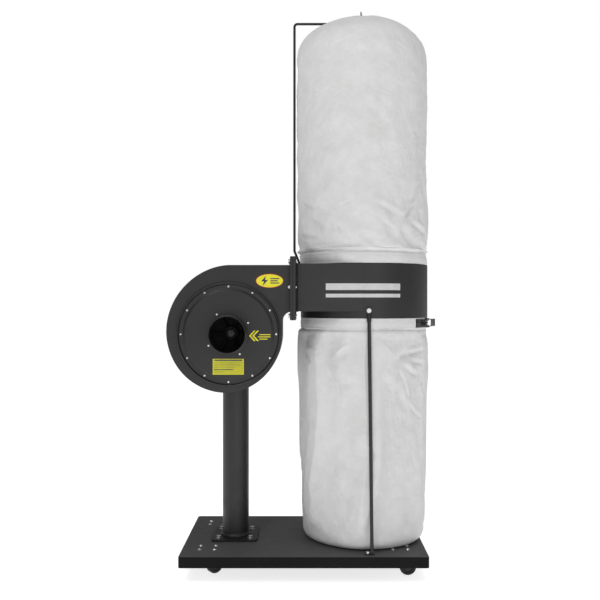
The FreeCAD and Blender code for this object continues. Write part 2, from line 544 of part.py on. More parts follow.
def make_impeller():
    front = IMPELLER_BACK - 3
    wheel = fuse([tube((BLOWER_X, front, BLOWER_Z), Y, IMPELLER_RADIUS, SHAFT_RADIUS + 0.03, 3),
                  tube((BLOWER_X, -96, BLOWER_Z), Y, 18, SHAFT_RADIUS + 0.03, 96 + front)])
    parts["impeller_wheel"] = wheel
    hub = rod((BLOWER_X, -160, BLOWER_Z), Y, 18.05, 100)
    blades = []
    for k in range(IMPELLER_BLADES):
        outline = [(15, front), (IMPELLER_RADIUS - 1, front), (IMPELLER_RADIUS - 1, -128), (52, -142), (15, -100)]
        blade = polygon([(BLOWER_X + r, y, BLOWER_Z - 1.2) for r, y in outline], V(0, 0, 2.4))
        blade = blade.cut(hub)
        blade.rotate(V(BLOWER_X, 0, BLOWER_Z), Y, 360 / IMPELLER_BLADES * k)
        blades.append(blade)
    parts["impeller_blades"] = group(blades)
    washer = tube((BLOWER_X, -99, BLOWER_Z), Y, 9.8, 3.02, 3)
    cap = rod((BLOWER_X, -107, BLOWER_Z), Y, 8, 8).cut(hex_prism((BLOWER_X, -108, BLOWER_Z), Y, 6, 6))
    parts["impeller_bolt"] = group([washer, fuse([cap, rod((BLOWER_X, -99, BLOWER_Z), Y, 3, 20)])])


def frame_plate(x0, x1, lip, corner=8.0, rolled=None):
    """A rectangular plate over the outlet, from x0 to x1. rolled is the X of the face whose rim is rounded."""
    z0, z1 = BLOWER_Z + OUTLET_LOW - lip, BLOWER_Z + SCROLL_END + lip
    y0, y1 = VOLUTE_FRONT - lip, VOLUTE_BACK + lip
    plate = box(x0, x1, y0, y1, z0, z1)
    along = [e for e in plate.Edges if abs(e.tangentAt(e.FirstParameter).x) > 0.9]
    plate = plate.makeFillet(corner, along)
    if rolled is None:
        return plate
    rim = [e for e in plate.Edges if abs(e.BoundBox.XMin - rolled) < 0.01 and abs(e.BoundBox.XMax - rolled) < 0.01]
    return plate.makeFillet(FLANGE_ROLL, rim)


def outlet_opening(x0, x1):
    return box(x0, x1, VOLUTE_FRONT + VOLUTE_SHEET, VOLUTE_BACK - VOLUTE_SHEET,
               BLOWER_Z + OUTLET_LOW + WRAPPER_SHEET, BLOWER_Z + SCROLL_END - WRAPPER_SHEET)


def flange_bolt_places():
    low, high = BLOWER_Z + OUTLET_LOW - FLANGE_LIP / 2, BLOWER_Z + SCROLL_END + FLANGE_LIP / 2
    front, back = VOLUTE_FRONT - FLANGE_LIP / 2, VOLUTE_BACK + FLANGE_LIP / 2
    middle = (low + high) / 2 + 3
    return [(y, z) for z in (low, high) for y in (-156.0, -77.0)] + [(front, middle), (back, middle)]


def make_flanges():
    x0 = OUTLET_END
    x1, x2 = x0 + FLANGE_THICK, x0 + FLANGE_THICK + GASKET_THICK
    x3 = x2 + DRUM_FLANGE_DEPTH
    hole = outlet_opening(x0 - 5, x3 + 5)
    holes = [rod((x0 - 5, y, z), X, 3.2, 30) for y, z in flange_bolt_places()]
    parts["blower_outlet_flange"] = frame_plate(x0, x1, FLANGE_LIP, rolled=x0).cut([hole] + holes)
    gasket = frame_plate(x1, x2, FLANGE_LIP - 0.6).cut([hole] + holes)
    seal = box(x3, x3 + SEAL_WIDTH, VOLUTE_FRONT - 1.2, VOLUTE_BACK + 1.2, DUCT_BOTTOM - 1.2, DUCT_TOP + 1.2)
    duct = box(x3 - 1, x3 + SEAL_WIDTH + 1, VOLUTE_FRONT, VOLUTE_BACK, DUCT_BOTTOM, DUCT_TOP)
    parts["outlet_gasket"] = group([gasket, seal.cut(duct)])
    pan = frame_plate(x2, x3, FLANGE_LIP, rolled=x3)
    recess = frame_plate(x2 + 3, x3 + 1, FLANGE_LIP - 2.5, corner=6)
    neck = frame_plate(x2 + 2, x3, 2.5, corner=1).cut(hole)
    parts["drum_inlet_flange"] = fuse([pan.cut([recess, hole] + holes), neck])
    solids = []
    for y, z in flange_bolt_places():
        solids += bolt((x0, y, z), X, 3, FLANGE_THICK + GASKET_THICK + 3)
    parts["flange_bolts"] = group(solids)


# ---------------------------------------------------------------- drum, legs and hanger
def make_drum():
    r, t, neck = DRUM_RADIUS, DRUM_SHEET, COLLAR_RADIUS
    low, high = DRUM_BOTTOM - COLLAR_HEIGHT, DRUM_TOP + COLLAR_HEIGHT
    profile = [(neck, low), (neck, DRUM_BOTTOM), (r, DRUM_BOTTOM), (r, DRUM_TOP), (neck, DRUM_TOP), (neck, high),
               (neck - t, high), (neck - t, DRUM_TOP - t), (r - t, DRUM_TOP - t), (r - t, DRUM_BOTTOM + t),
               (neck - t, DRUM_BOTTOM + t), (neck - t, low), (neck, low)]
    shell = about_drum(lines(profile))
    entry_end = DRUM_X - DUCT_TAPER
    entry = box(-60, entry_end, VOLUTE_FRONT + t, VOLUTE_BACK - t, DUCT_BOTTOM + t, DUCT_TOP - t)
    out = [V(math.cos(math.radians(a)), math.sin(math.radians(a)), 0) for a in LEG_ANGLES.values()]
    bolt_holes = [rod(V(DRUM_X, DRUM_Y, LEG_BOLT_Z) + d * (r - 8), d, 3.2, 12) for d in out]
    clip_holes = [rod((DRUM_X - r - 2, DRUM_Y + s * 11, z), X, 2.1, 8) for z in CLIP_Z for s in (-1, 1)]
    parts["drum_shell"] = shell.cut([entry] + bolt_holes + clip_holes)
    start = OUTLET_END + FLANGE_THICK + GASKET_THICK + DRUM_FLANGE_DEPTH
    walls = box(start, entry_end, VOLUTE_FRONT, VOLUTE_BACK, DUCT_BOTTOM, DUCT_TOP)
    inside = box(start - 1, entry_end + 1, VOLUTE_FRONT + t, VOLUTE_BACK - t, DUCT_BOTTOM + t, DUCT_TOP - t)
    parts["inlet_duct"] = walls.cut([inside, rod((DRUM_X, DRUM_Y, 600), Z, r + 0.02, 400)])


def make_leg(angle, lean):
    """A leg of round tube with a flat tab at each end, built at angle 0 and turned about the drum's axis."""
    x = DRUM_X + DRUM_RADIUS + LEG_RADIUS + 0.5
    top, foot = V(x, DRUM_Y, LEG_BOLT_Z - 10), V(x, DRUM_Y + lean, BASE_TOP + LEG_TAB)
    direction = (top - foot).normalize()
    length = (top - foot).Length
    stem = Part.makeCylinder(LEG_RADIUS, length, foot, direction)
    stem = stem.cut(Part.makeCylinder(LEG_RADIUS - 1.5, length - 30, foot + direction * 15, direction))
    tab = box(DRUM_X + DRUM_RADIUS + 0.02, DRUM_X + DRUM_RADIUS + LEG_TAB, DRUM_Y - 7, DRUM_Y + 7,
              LEG_BOLT_Z - 11, LEG_BOLT_Z + 10)
    neck = polygon([(DRUM_X + DRUM_RADIUS + 0.6, DRUM_Y - 6, LEG_BOLT_Z - 6), (x + 1, DRUM_Y - 6, LEG_BOLT_Z - 20),
                    (x + 1, DRUM_Y - 6, LEG_BOLT_Z - 30), (DRUM_X + DRUM_RADIUS + 0.6, DRUM_Y - 6, LEG_BOLT_Z - 18)],
                   V(0, 12, 0))
    bolt_y = DRUM_Y + lean - FOOT_TAB_BOLT
    foot_tab = box(x - 6, x + 6, bolt_y - 8, DRUM_Y + lean + 6, BASE_TOP, BASE_TOP + LEG_TAB)
    heel = box(x - 5, x + 5, DRUM_Y + lean - 5, DRUM_Y + lean + 5, BASE_TOP + 1, BASE_TOP + 12)
    leg = fuse([stem, tab, neck, foot_tab, heel])
    leg = leg.cut([rod((DRUM_X + DRUM_RADIUS - 1, DRUM_Y, LEG_BOLT_Z), X, 3.2, 12),
                   rod((x, bolt_y, BASE_TOP - 1), Z, 3.2, 8),
                   rod((DRUM_X, DRUM_Y, 600), Z, DRUM_RADIUS + 0.02, 300)])
    return turn_drum(leg, angle)


def make_legs():
    made = {name: make_leg(angle, LEG_LEAN[name]) for name, angle in LEG_ANGLES.items()}
    parts["front_leg"] = made["front"]
    parts["rear_legs"] = group([made["rear_right"], made["rear_left"]])


def make_hanger():
    """Bent rod that carries the filter bag, held to the drum's left side by two clips."""
    at_drum = DRUM_X - DRUM_RADIUS - ROD_RADIUS - 0.3
    out = DRUM_X - ROD_OFFSET
    path = [(at_drum, DRUM_Y, 752), (at_drum, DRUM_Y, 872), (out, DRUM_Y, 908), (out, DRUM_Y, ARM_Z),
            (DRUM_X - 1, DRUM_Y, ARM_Z), (DRUM_X + 4, DRUM_Y, ARM_Z + 18)]
    parts["bag_hanger_rod"] = wire_rod(path, 9, ROD_RADIUS)
    solids = []
    wall = DRUM_X - DRUM_RADIUS
    for z in CLIP_Z:
        block = fuse([box(wall - 2.5, wall + 3, DRUM_Y - 17, DRUM_Y + 17, z - 8, z + 8),
                      box(at_drum - ROD_RADIUS - 2.7, wall, DRUM_Y - 6.3, DRUM_Y + 6.3, z - 8, z + 8)])
        block = block.cut([rod((DRUM_X, DRUM_Y, z - 20), Z, DRUM_RADIUS + 0.02, 40),
                           rod((at_drum, DRUM_Y, z - 20), Z, ROD_RADIUS + 0.05, 40)]
                          + [rod((wall - 10, DRUM_Y + s * 11, z), X, 2.1, 20) for s in (-1, 1)])
        solids.append(block)
        solids += [dome_screw((wall - 2.5, DRUM_Y + s * 11, z), X, 2, 8) for s in (-1, 1)]
    parts["hanger_clips"] = group(solids)


# ---------------------------------------------------------------- bags
def hem_cuts(middle, latch):
    """The strap's channel inside a hem, and the window where the latch comes out."""
    half = STRAP_WIDTH / 2 + 0.5
    channel = tube((DRUM_X, DRUM_Y, middle - half), Z, STRAP_OUTER + 0.15, STRAP_INNER - 0.15, 2 * half)
    window = sector(STRAP_INNER - 0.15, 200, middle - 13.6, middle + 13.6,
                    latch + HEM_WINDOW[0], latch + HEM_WINDOW[1])
    return [channel, window]


def make_lower_bag():
    r, floor, inner_hem = LOWER_BAG_RADIUS, BASE_TOP + 0.3, COLLAR_RADIUS + 0.2
    hem_top, hem_low, c = DRUM_BOTTOM - 0.3, DRUM_BOTTOM - COLLAR_HEIGHT - 2, BAG_CORNER
    s = c * math.sqrt(0.5)

    def corner(radius, low, fillet, diagonal):
        centre = (radius - fillet, low + fillet)
        return Part.Arc(drum_point(radius, centre[1]), drum_point(centre[0] + diagonal, centre[1] - diagonal),
                        drum_point(centre[0], low)).toShape()
    foot, taper_top = LOWER_BAG_FOOT, 330.0
    outside = lines([(inner_hem, hem_top), (r, hem_top), (r, taper_top), (foot, floor + c)])
    outside += [corner(foot, floor, c, s)] + lines([(foot - c, floor), (0, floor)])
    w = FABRIC
    ci = c - w
    si = ci * math.sqrt(0.5)
    inside = lines([(inner_hem, hem_top), (inner_hem, hem_low), (r - w, hem_low - 4), (r - w, taper_top),
                    (foot - w, floor + c)])
    inside += [corner(foot - w, floor + w, ci, si)] + lines([(foot - c, floor + w), (0, floor + w)])
    close = lines([(0, floor), (0, floor + w)])
    bag = about_drum(outside + inside + close)
    under = [(x, y) for x, y in caster_bolt_places() if math.hypot(x - DRUM_X, y - DRUM_Y) < foot - 10]
    bumps = [rod((x, y, floor + 1), Z, 8.5, 5) for x, y in under]
    dents = [rod((x, y, floor - 1), Z, 6, 5) for x, y in under]
    bag = bag.fuse(bumps).removeSplitter().cut(dents)
    middle = DRUM_BOTTOM - COLLAR_HEIGHT / 2
    parts["lower_dust_bag"] = bag.cut(hem_cuts(middle, LATCH_ANGLE["lower"]))


def make_upper_bag():
    r, inner_hem = UPPER_BAG_RADIUS, COLLAR_RADIUS + 0.2
    low, hem_top = DRUM_TOP + 0.3, DRUM_TOP + COLLAR_HEIGHT + 2

    def filled(shrink, start):
        """The bag's outer form, or the room inside it when shrunk by the cloth's thickness."""
        a, b = r - shrink, DOME_HEIGHT - shrink
        ellipse = Part.Ellipse(V(DRUM_X, DRUM_Y, DOME_START), a, b)
        ellipse.transform(FreeCAD.Placement(V(0, 0, 0), FreeCAD.Rotation(X, 90), ellipse.Center).toMatrix())
        arc = Part.ArcOfEllipse(ellipse, 0, math.pi / 2).toShape()
        side = lines([(0, start), (start_radius(shrink), start), (start_radius(shrink), hem_top),
                      (a, hem_top + 36), (a, DOME_START)])
        apex = lines([(0, DOME_START + b), (0, start)])
        return about_drum(side + [arc] + apex)

    def start_radius(shrink):
        return LOWER_BAG_RADIUS if shrink == 0 else inner_hem
    w, half, groove_end, groove_floor, above = FABRIC, 6.5, DRUM_X + 12, ARM_Z - ROD_RADIUS - 2.5, 1700
    groove = box(-60, groove_end, DRUM_Y - half, DRUM_Y + half, groove_floor, above)
    wide = box(-60, groove_end + w, DRUM_Y - half - w, DRUM_Y + half + w, groove_floor - w, above)
    bag = filled(0, low).cut(groove).cut(filled(w, low - 1).cut(wide))
    middle = DRUM_TOP + COLLAR_HEIGHT / 2
    parts["upper_filter_bag"] = bag.cut(hem_cuts(middle, LATCH_ANGLE["upper"]))


# ---------------------------------------------------------------- band clamps
def latch_point(u, n, z):
    """Latch coordinates at angle 0: u anticlockwise along the strap, n outwards from the drum's axis."""
    return (DRUM_X + n, DRUM_Y + u, z)


def latch_box(u0, u1, n0, n1, z0, z1):
    return box(DRUM_X + n0, DRUM_X + n1, DRUM_Y + u0, DRUM_Y + u1, z0, z1)


def rivet(angle, z):
    """A round rivet head on the keeper or the lever base."""
    return turn_drum(dome_screw((DRUM_X + 184.2, DRUM_Y, z), X * -1, 2.5, 1.5), angle)


def make_clamp(which, z):
    """Strap with its keeper and lever base, then the lever and the wire loop."""
    angle = LATCH_ANGLE[which]
    half = STRAP_WIDTH / 2
    strap = sector(STRAP_INNER, STRAP_OUTER, z - half, z + half, 1.0, 356.0)
    post = latch_box(-26, -23.5, STRAP_OUTER - 1, 192, z - 4, z + 4)
    clear = rod((DRUM_X, DRUM_Y, z - 30), Z, STRAP_OUTER + 0.02, 60)
    keeper = fuse([sector(STRAP_OUTER + 0.02, 184.2, z - 11, z + 11, -21.0, -4.5), post, rivet(-18.0, z)])
    pivot = latch_point(*LATCH_PIVOT, z)
    ears = []
    for side in (-1, 1):
        z0 = z + 11 if side > 0 else z - 13
        plate = latch_box(2, 15, STRAP_OUTER - 1, 193, z0, z0 + 2)
        z_pin = z + 8.7 if side > 0 else z - 13
        ears += [plate, rod((pivot[0], pivot[1], z_pin), Z, 1.5, 4.3)]
    base = fuse([sector(STRAP_OUTER + 0.02, 184.2, z - 13, z + 13, 0.8, 13.0), rivet(11.0, z)] + ears)
    fixed = group([strap, keeper.cut(clear), base.cut(clear)])
    parts[f"{which}_band_clamp"] = turn_drum(fixed, angle)

    u, n = LATCH_PIVOT
    lu, ln = LOOP_PIVOT
    flanges = []
    for z0 in (z - 10.6, z + 9.0):
        web = polygon([latch_point(*p, z0) for p in ((u, n + 5), (66, n + 5.1), (66, n + 0.5), (25, ln - 2.8),
                                                     (lu, ln - 3.5), (u, n - 5))], V(0, 0, 1.6))
        web = fuse([web, rod(latch_point(u, n, z0), Z, 5, 1.6)])
        web = web.cut([rod(latch_point(u, n, z0 - 1), Z, 1.5 + RUN, 4),
                       rod(latch_point(lu, ln, z0 - 1), Z, 1.5 + RUN, 4)])
        flanges.append(web)
    plate = latch_box(27, 66, n + 3.5, n + 5.1, z - 10.6, z + 10.6)
    curl = polygon([latch_point(66, n + 5.1, z - 10.6), latch_point(66, n + 3.5, z - 10.6),
                    latch_point(73, n + 6.0, z - 10.6), latch_point(73, n + 7.6, z - 10.6)], V(0, 0, 21.2))
    parts[f"{which}_latch_lever"] = turn_drum(fuse([plate, curl] + flanges), angle)

    end = LOOP_REACH
    wire = [rod(latch_point(lu, ln, z - 10.4), Z, 1.5, 3.9), rod(latch_point(lu, ln, z + 6.5), Z, 1.5, 3.9),
            rod(latch_point(end, ln, z - 6.5), Z, 1.5, 13)]
    wire += [rod(latch_point(end, ln, z + s * 6.5), Y, 1.5, lu - end) for s in (-1, 1)]
    wire += [Part.makeSphere(1.5, V(*latch_point(a, ln, z + s * 6.5))) for a in (end, lu) for s in (-1, 1)]
    parts[f"{which}_latch_loop"] = turn_drum(fuse(wire), angle)


# ---------------------------------------------------------------- labels
def make_labels():
    """Printed labels on the blower: an oval badge, a notice plate and an arrow towards the inlet."""
    thick = LABEL_THICK
    oval = Part.Ellipse(V(0, 0, 0), BADGE_HALF_WIDTH, BADGE_HALF_HEIGHT).toShape()
    badge = Part.Face(Part.Wire(oval)).extrude(V(0, 0, thick))
    badge.Placement = FreeCAD.Placement(V(BADGE_X, VOLUTE_FRONT, BADGE_Z), FreeCAD.Rotation(X, 90))
    notice = box(BLOWER_X - NOTICE_HALF_WIDTH, BLOWER_X + NOTICE_HALF_WIDTH, COVER_FACE - thick, COVER_FACE,
                 NOTICE_LOW, NOTICE_HIGH)
    tip = BLOWER_X + 56
    arrows = []
    for shift in (0, 9):
        x = tip + shift
        arrows.append(polygon([(x, COVER_FACE, 666), (x + 13, COVER_FACE, 680), (x + 18, COVER_FACE, 680),
                               (x + 5, COVER_FACE, 666), (x + 18, COVER_FACE, 652), (x + 13, COVER_FACE, 652)],
                              V(0, -thick, 0)))
    bars = [box(x0, x1, COVER_FACE - thick, COVER_FACE, z - 1.2, z + 1.2)
            for x0, x1, z in ((tip + 28, tip + 58, 669), (tip + 24, tip + 58, 663), (tip + 28, tip + 50, 657))]
    parts["blower_labels"] = group([badge, notice] + arrows + bars)
    stripes = []
    for z0, z1 in STRIPES:
        curved = sector(DRUM_RADIUS + 0.02, DRUM_RADIUS + thick, z0, z1, -90, -62)
        flat = box(60, DRUM_X - DUCT_TAPER, VOLUTE_FRONT - thick, VOLUTE_FRONT, z0, z1)
        bridge = sector(DRUM_RADIUS + 0.02, DRUM_RADIUS + thick, z0, z1, -94.95, -90)
        duct = box(0, DRUM_X - DUCT_TAPER + 0.02, VOLUTE_FRONT, VOLUTE_BACK, z0, z1)
        stripes += [flat, fuse([curved, bridge]).cut([duct, flat])]
    parts["drum_stripe"] = group(stripes)


# ---------------------------------------------------------------- build and export
make_base()
make_caster_plates()
for caster_name, (caster_x, caster_y) in caster_places().items():
    make_caster(caster_name, caster_x, caster_y)
make_base_bolts()
make_post()
make_motor_foot()
make_motor()
make_motor_boxes()
make_volute()
make_inlet()
make_impeller()
make_flanges()
make_drum()
make_legs()
make_hanger()
make_lower_bag()
make_upper_bag()
make_clamp("lower", DRUM_BOTTOM - COLLAR_HEIGHT / 2)
make_clamp("upper", DRUM_TOP + COLLAR_HEIGHT / 2)
make_labels()

os.makedirs("parts", exist_ok=True)
for old in os.listdir("parts"):
    os.remove(os.path.join("parts", old))
for name, shape in parts.items():
    if not shape.isValid():
        print("not valid:", name)
    shape.exportStep(f"parts/{name}.step")
print(len(parts), "parts")
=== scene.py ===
"""Looks for the dust collector: materials on CAD parts, cloth bags, stitching, labels, light and camera."""
import math

import bpy
import numpy as np
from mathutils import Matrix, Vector


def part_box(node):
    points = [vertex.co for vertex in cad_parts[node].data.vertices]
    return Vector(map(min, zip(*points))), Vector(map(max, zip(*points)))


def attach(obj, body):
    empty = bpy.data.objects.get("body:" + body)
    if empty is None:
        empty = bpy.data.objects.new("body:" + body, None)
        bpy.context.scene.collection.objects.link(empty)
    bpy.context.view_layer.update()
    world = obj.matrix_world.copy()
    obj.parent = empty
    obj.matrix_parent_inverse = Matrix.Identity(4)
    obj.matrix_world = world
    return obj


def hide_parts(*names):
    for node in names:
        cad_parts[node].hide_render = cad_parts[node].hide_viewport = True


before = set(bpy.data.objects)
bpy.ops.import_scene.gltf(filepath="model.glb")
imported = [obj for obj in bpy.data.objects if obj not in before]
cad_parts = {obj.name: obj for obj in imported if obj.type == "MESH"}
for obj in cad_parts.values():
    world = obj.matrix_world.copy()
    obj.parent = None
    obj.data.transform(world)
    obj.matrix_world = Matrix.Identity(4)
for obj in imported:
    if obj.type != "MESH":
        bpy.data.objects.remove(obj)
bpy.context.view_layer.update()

SEED = 11

# ---------------------------------------------------------------- places, all from the frame
DRUM_LOW, DRUM_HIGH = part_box("drum_shell")
AXIS = np.array([(DRUM_LOW.x + DRUM_HIGH.x) / 2, (DRUM_LOW.y + DRUM_HIGH.y) / 2])
UPPER_LOW, UPPER_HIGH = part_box("upper_filter_bag")
LOWER_LOW, LOWER_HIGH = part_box("lower_dust_bag")
UPPER_RADIUS = (UPPER_HIGH.x - UPPER_LOW.x) / 2
HEM_RADIUS = (LOWER_HIGH.x - LOWER_LOW.x) / 2
ROD_LOW, ROD_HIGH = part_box("bag_hanger_rod")
ROD_RADIUS = (ROD_HIGH.y - ROD_LOW.y) / 2
HOOK_RISE = 0.01896              # the rod's hooked end stands this far above its arm
ARM_HEIGHT = ROD_HIGH.z - HOOK_RISE
WHEEL_LOW, WHEEL_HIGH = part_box("impeller_wheel")
BLOWER_X = (WHEEL_LOW.x + WHEEL_HIGH.x) / 2
LEG_ANGLES = (-90.0, 50.0, 130.0)
LATCH_ANGLES = {"lower": -20.0, "upper": 90.0}

# ---------------------------------------------------------------- sizes of the cloth, metres and degrees
HEM_HEIGHT = {"upper": 0.0345, "lower": 0.0335}
HEM_SEAM = {"upper": UPPER_LOW.z + HEM_HEIGHT["upper"], "lower": LOWER_HIGH.z - HEM_HEIGHT["lower"]}
NECK_HEIGHT = 0.030              # the drum's neck, with the strap round its middle
STRAP_MIDDLE = {"upper": UPPER_LOW.z + NECK_HEIGHT / 2, "lower": LOWER_HIGH.z - NECK_HEIGHT / 2}
WINDOW = (-23.5, 15.0)           # the hem's opening round a latch, from the latch's own angle
WINDOW_HALF_HEIGHT = 0.0135
# how far each bag sags towards the blower: the filter bag at its hem and then in its body, and the dust bag
UPPER_LEAN, LOWER_LEAN = (0.0040, 0.0030), 0.0034
DOME_HEIGHT = 0.115
BAG_COLUMNS, BAG_ROW = 96, 0.0105
FADE_RADIUS = 0.12               # nearer to the bag's middle than this, relief fades away
CLOTH_FRAMES, CLOTH_PRESSURE = 36, 1.0
HOOP_SURPLUS = 1.005             # the sheet is cut this much wider than the bag
CUT_SHARE = 0.35                 # share of the cut shape that the settled cloth keeps everywhere
# height and wave length of each layer of broad relief; then height, length and number of waves of the crumple
RELIEF = ((0.0022, 0.21), (0.0012, 0.09))
CRUMPLE = ((0.00045, 0.030, 24), (0.00028, 0.014, 30))

# ---------------------------------------------------------------- light
SKY_DIFFUSE, SKY_GLOSSY = 0.32, 0.24
# name, place, side of the square and brightness of each soft light
LIGHTS = (("front", (0.9, -3.6, 1.5), 3.0, 0.72), ("key", (-1.7, -2.9, 3.9), 0.8, 16.5),
          ("top", (0.2, -0.4, 4.2), 2.2, 1.6))
LIGHT_TARGET = Vector((0, 0, 0.85))


# ---------------------------------------------------------------- materials
def surface(name, dark, light, rough, metallic=0.0, patch=9.0, grain=700.0, depth=0.00012, sheen=0.0):
    """A material whose colour and gloss wander between two values, with a fine-grained bump.

    patch and grain are noise scales per metre, and depth is the bump's height in metres."""
    material = bpy.data.materials.new(name)
    material.use_nodes = True
    nodes, links = material.node_tree.nodes, material.node_tree.links
    shader = nodes["Principled BSDF"]
    shader.inputs["Metallic"].default_value = metallic
    shader.inputs["Sheen Weight"].default_value = sheen
    coordinates = nodes.new("ShaderNodeTexCoord").outputs["Object"]
    low, high = 0.3, 0.7             # the middle part of the noise's range

    def noise(scale, detail, roughness=0.55):
        node = nodes.new("ShaderNodeTexNoise")
        node.inputs["Scale"].default_value = scale
        node.inputs["Detail"].default_value = detail
        node.inputs["Roughness"].default_value = roughness
        links.new(coordinates, node.inputs["Vector"])
        return node.outputs["Fac"]

    ramp = nodes.new("ShaderNodeValToRGB")
    for stop, place, colour in zip(ramp.color_ramp.elements, (low, high), (dark, light)):
        stop.position, stop.color = place, (*colour, 1)
    links.new(noise(patch, 5.0), ramp.inputs["Fac"])
    links.new(ramp.outputs["Color"], shader.inputs["Base Color"])
    gloss = nodes.new("ShaderNodeMapRange")
    gloss.inputs["From Min"].default_value, gloss.inputs["From Max"].default_value = low, high
    gloss.inputs["To Min"].default_value, gloss.inputs["To Max"].default_value = rough
    links.new(noise(patch * 4, 3.0), gloss.inputs["Value"])
    links.new(gloss.outputs["Result"], shader.inputs["Roughness"])
    bump = nodes.new("ShaderNodeBump")
    bump.inputs["Distance"].default_value = depth
    bump.inputs["Strength"].default_value = 0.6
    links.new(noise(grain, 3.0, 0.6), bump.inputs["Height"])
    links.new(bump.outputs["Normal"], shader.inputs["Normal"])
    return material


def grey(value, tint=1.0):
    """A grey, with its blue part times tint."""
    return (value, value, value * tint)


def felt(name):
    """Needle felt: mottled white, matted fibres and a faint crumpled relief."""
    material = surface(name, grey(0.63, 0.995), grey(0.70, 1.0), (0.86, 0.97), patch=26.0, sheen=0.10)
    nodes, links = material.node_tree.nodes, material.node_tree.links
    coordinates = nodes["Texture Coordinate"].outputs["Object"]
    heights = []
    layers = ((1500.0, 4.0, 0.10), (260.0, 3.0, 0.22), (60.0, 4.0, 0.9))
    for scale, detail, amount in layers:
        node = nodes.new("ShaderNodeTexNoise")
        node.inputs["Scale"].default_value = scale
        node.inputs["Detail"].default_value = detail
        node.inputs["Distortion"].default_value = 0.6
        links.new(coordinates, node.inputs["Vector"])
        scaled = nodes.new("ShaderNodeMath")
        scaled.operation = "MULTIPLY"
        scaled.inputs[1].default_value = amount
        links.new(node.outputs["Fac"], scaled.inputs[0])
        heights.append(scaled.outputs[0])
    total = heights[0]
    for height in heights[1:]:
        add = nodes.new("ShaderNodeMath")
        links.new(total, add.inputs[0])
        links.new(height, add.inputs[1])
        total = add.outputs[0]
    bump = nodes["Bump"]
    bump.inputs["Distance"].default_value = 0.0011
    bump.inputs["Strength"].default_value = 0.7
    links.new(total, bump.inputs["Height"])
    return material


def paint_top_light(material, dust):
    """A dull coat with upward faces painted lighter than upright ones: painted light from above and painted
    reflection.
    """
    nodes, links = material.node_tree.nodes, material.node_tree.links
    nodes["Principled BSDF"].inputs["Specular IOR Level"].default_value = 0.12
    coat = nodes["Color Ramp"].outputs["Color"]
    split = nodes.new("ShaderNodeSeparateXYZ")
    links.new(nodes.new("ShaderNodeNewGeometry").outputs["Normal"], split.inputs["Vector"])
    lying = nodes.new("ShaderNodeMapRange")
    lying.inputs["From Min"].default_value, lying.inputs["From Max"].default_value = 0.6, 0.97
    links.new(split.outputs["Z"], lying.inputs["Value"])
    # the colour given as dust is painted light, mixed onto faces that look up
    mix = nodes.new("ShaderNodeMixRGB")
    mix.inputs["Color2"].default_value = (*dust, 1)
    links.new(lying.outputs["Result"], mix.inputs["Fac"])
    links.new(coat, mix.inputs["Color1"])
    links.new(mix.outputs["Color"], nodes["Principled BSDF"].inputs["Base Color"])
    return material


POWDER = surface("dark_powder_coat", grey(0.010, 1.03), grey(0.0155, 1.03), (0.38, 0.50),
                 patch=7.0, grain=620.0)
SKIRT = surface("base_powder_coat", grey(0.003, 1.03), grey(0.006, 1.03), (0.5, 0.62), patch=6.0, grain=620.0)
# the base plate's top is painted lighter: painted light from above and painted reflection
SKIRT = paint_top_light(SKIRT, grey(0.095, 1.02))
SOOT = surface("impeller_black", grey(0.007), grey(0.011), (0.7, 0.85), patch=30.0, grain=500.0)
ROD = surface("black_rod_coat", grey(0.005), grey(0.009), (0.35, 0.5), patch=30.0, grain=900.0)
ZINC = surface("bright_zinc", grey(0.55, 1.02), grey(0.80), (0.16, 0.34), metallic=1.0,
               patch=60.0, grain=1400.0)
DARK_STEEL = surface("dark_latch_steel", grey(0.03), grey(0.07), (0.25, 0.45), metallic=0.85,
                     patch=60.0, grain=1100.0)
BARE_STEEL = surface("machined_steel", grey(0.42), grey(0.58), (0.22, 0.4), metallic=1.0,
                     patch=40.0, grain=1500.0)
CAST = surface("cast_aluminium", grey(0.36), grey(0.48), (0.45, 0.62), metallic=0.9,
               patch=35.0, grain=420.0, depth=0.0003)
RUBBER = surface("caster_rubber", grey(0.010), grey(0.022), (0.6, 0.8), patch=50.0, grain=900.0)
# black gasket foam; where the gasket's lip shows in front of the duct, its black also stands in for the
# flange's shadow: painted shade
GASKET_AND_SHADE = surface("gasket_foam_and_painted_shade", grey(0.006), grey(0.014), (0.8, 0.95), patch=60.0, grain=500.0, depth=0.0004)
PLASTIC = surface("black_plastic", grey(0.014), grey(0.024), (0.38, 0.5), patch=40.0, grain=1300.0)
RED = surface("red_rocker", (0.42, 0.012, 0.010), (0.50, 0.020, 0.014), (0.2, 0.3), patch=80.0, grain=900.0)
YELLOW = surface("yellow_film", (0.72, 0.66, 0.010), (0.80, 0.73, 0.016), (0.32, 0.42),
                 patch=40.0, grain=500.0, depth=0.00004)
FILM = surface("worn_yellow_film", (0.50, 0.48, 0.010), (0.57, 0.54, 0.014), (0.32, 0.42),
               patch=40.0, grain=500.0, depth=0.00004)
INK = surface("dark_blue_ink", (0.010, 0.014, 0.06), (0.014, 0.02, 0.08), (0.35, 0.45), patch=60.0)
FADED_INK = surface("faded_ink", (0.26, 0.25, 0.03), (0.34, 0.33, 0.05), (0.4, 0.5), patch=80.0)
RED_INK = surface("red_ink", (0.45, 0.03, 0.02), (0.55, 0.05, 0.03), (0.35, 0.45), patch=60.0)
SILVER_INK = surface("silver_grey_ink", grey(0.52), grey(0.60), (0.35, 0.45), patch=60.0)
THREAD = surface("thread", grey(0.60), grey(0.72), (0.8, 0.9), patch=200.0, grain=3000.0, sheen=0.2)
TAPE = surface("grey_tape", grey(0.26), grey(0.34), (0.8, 0.9), patch=200.0, grain=2400.0)
FELT = felt("white_needle_felt")

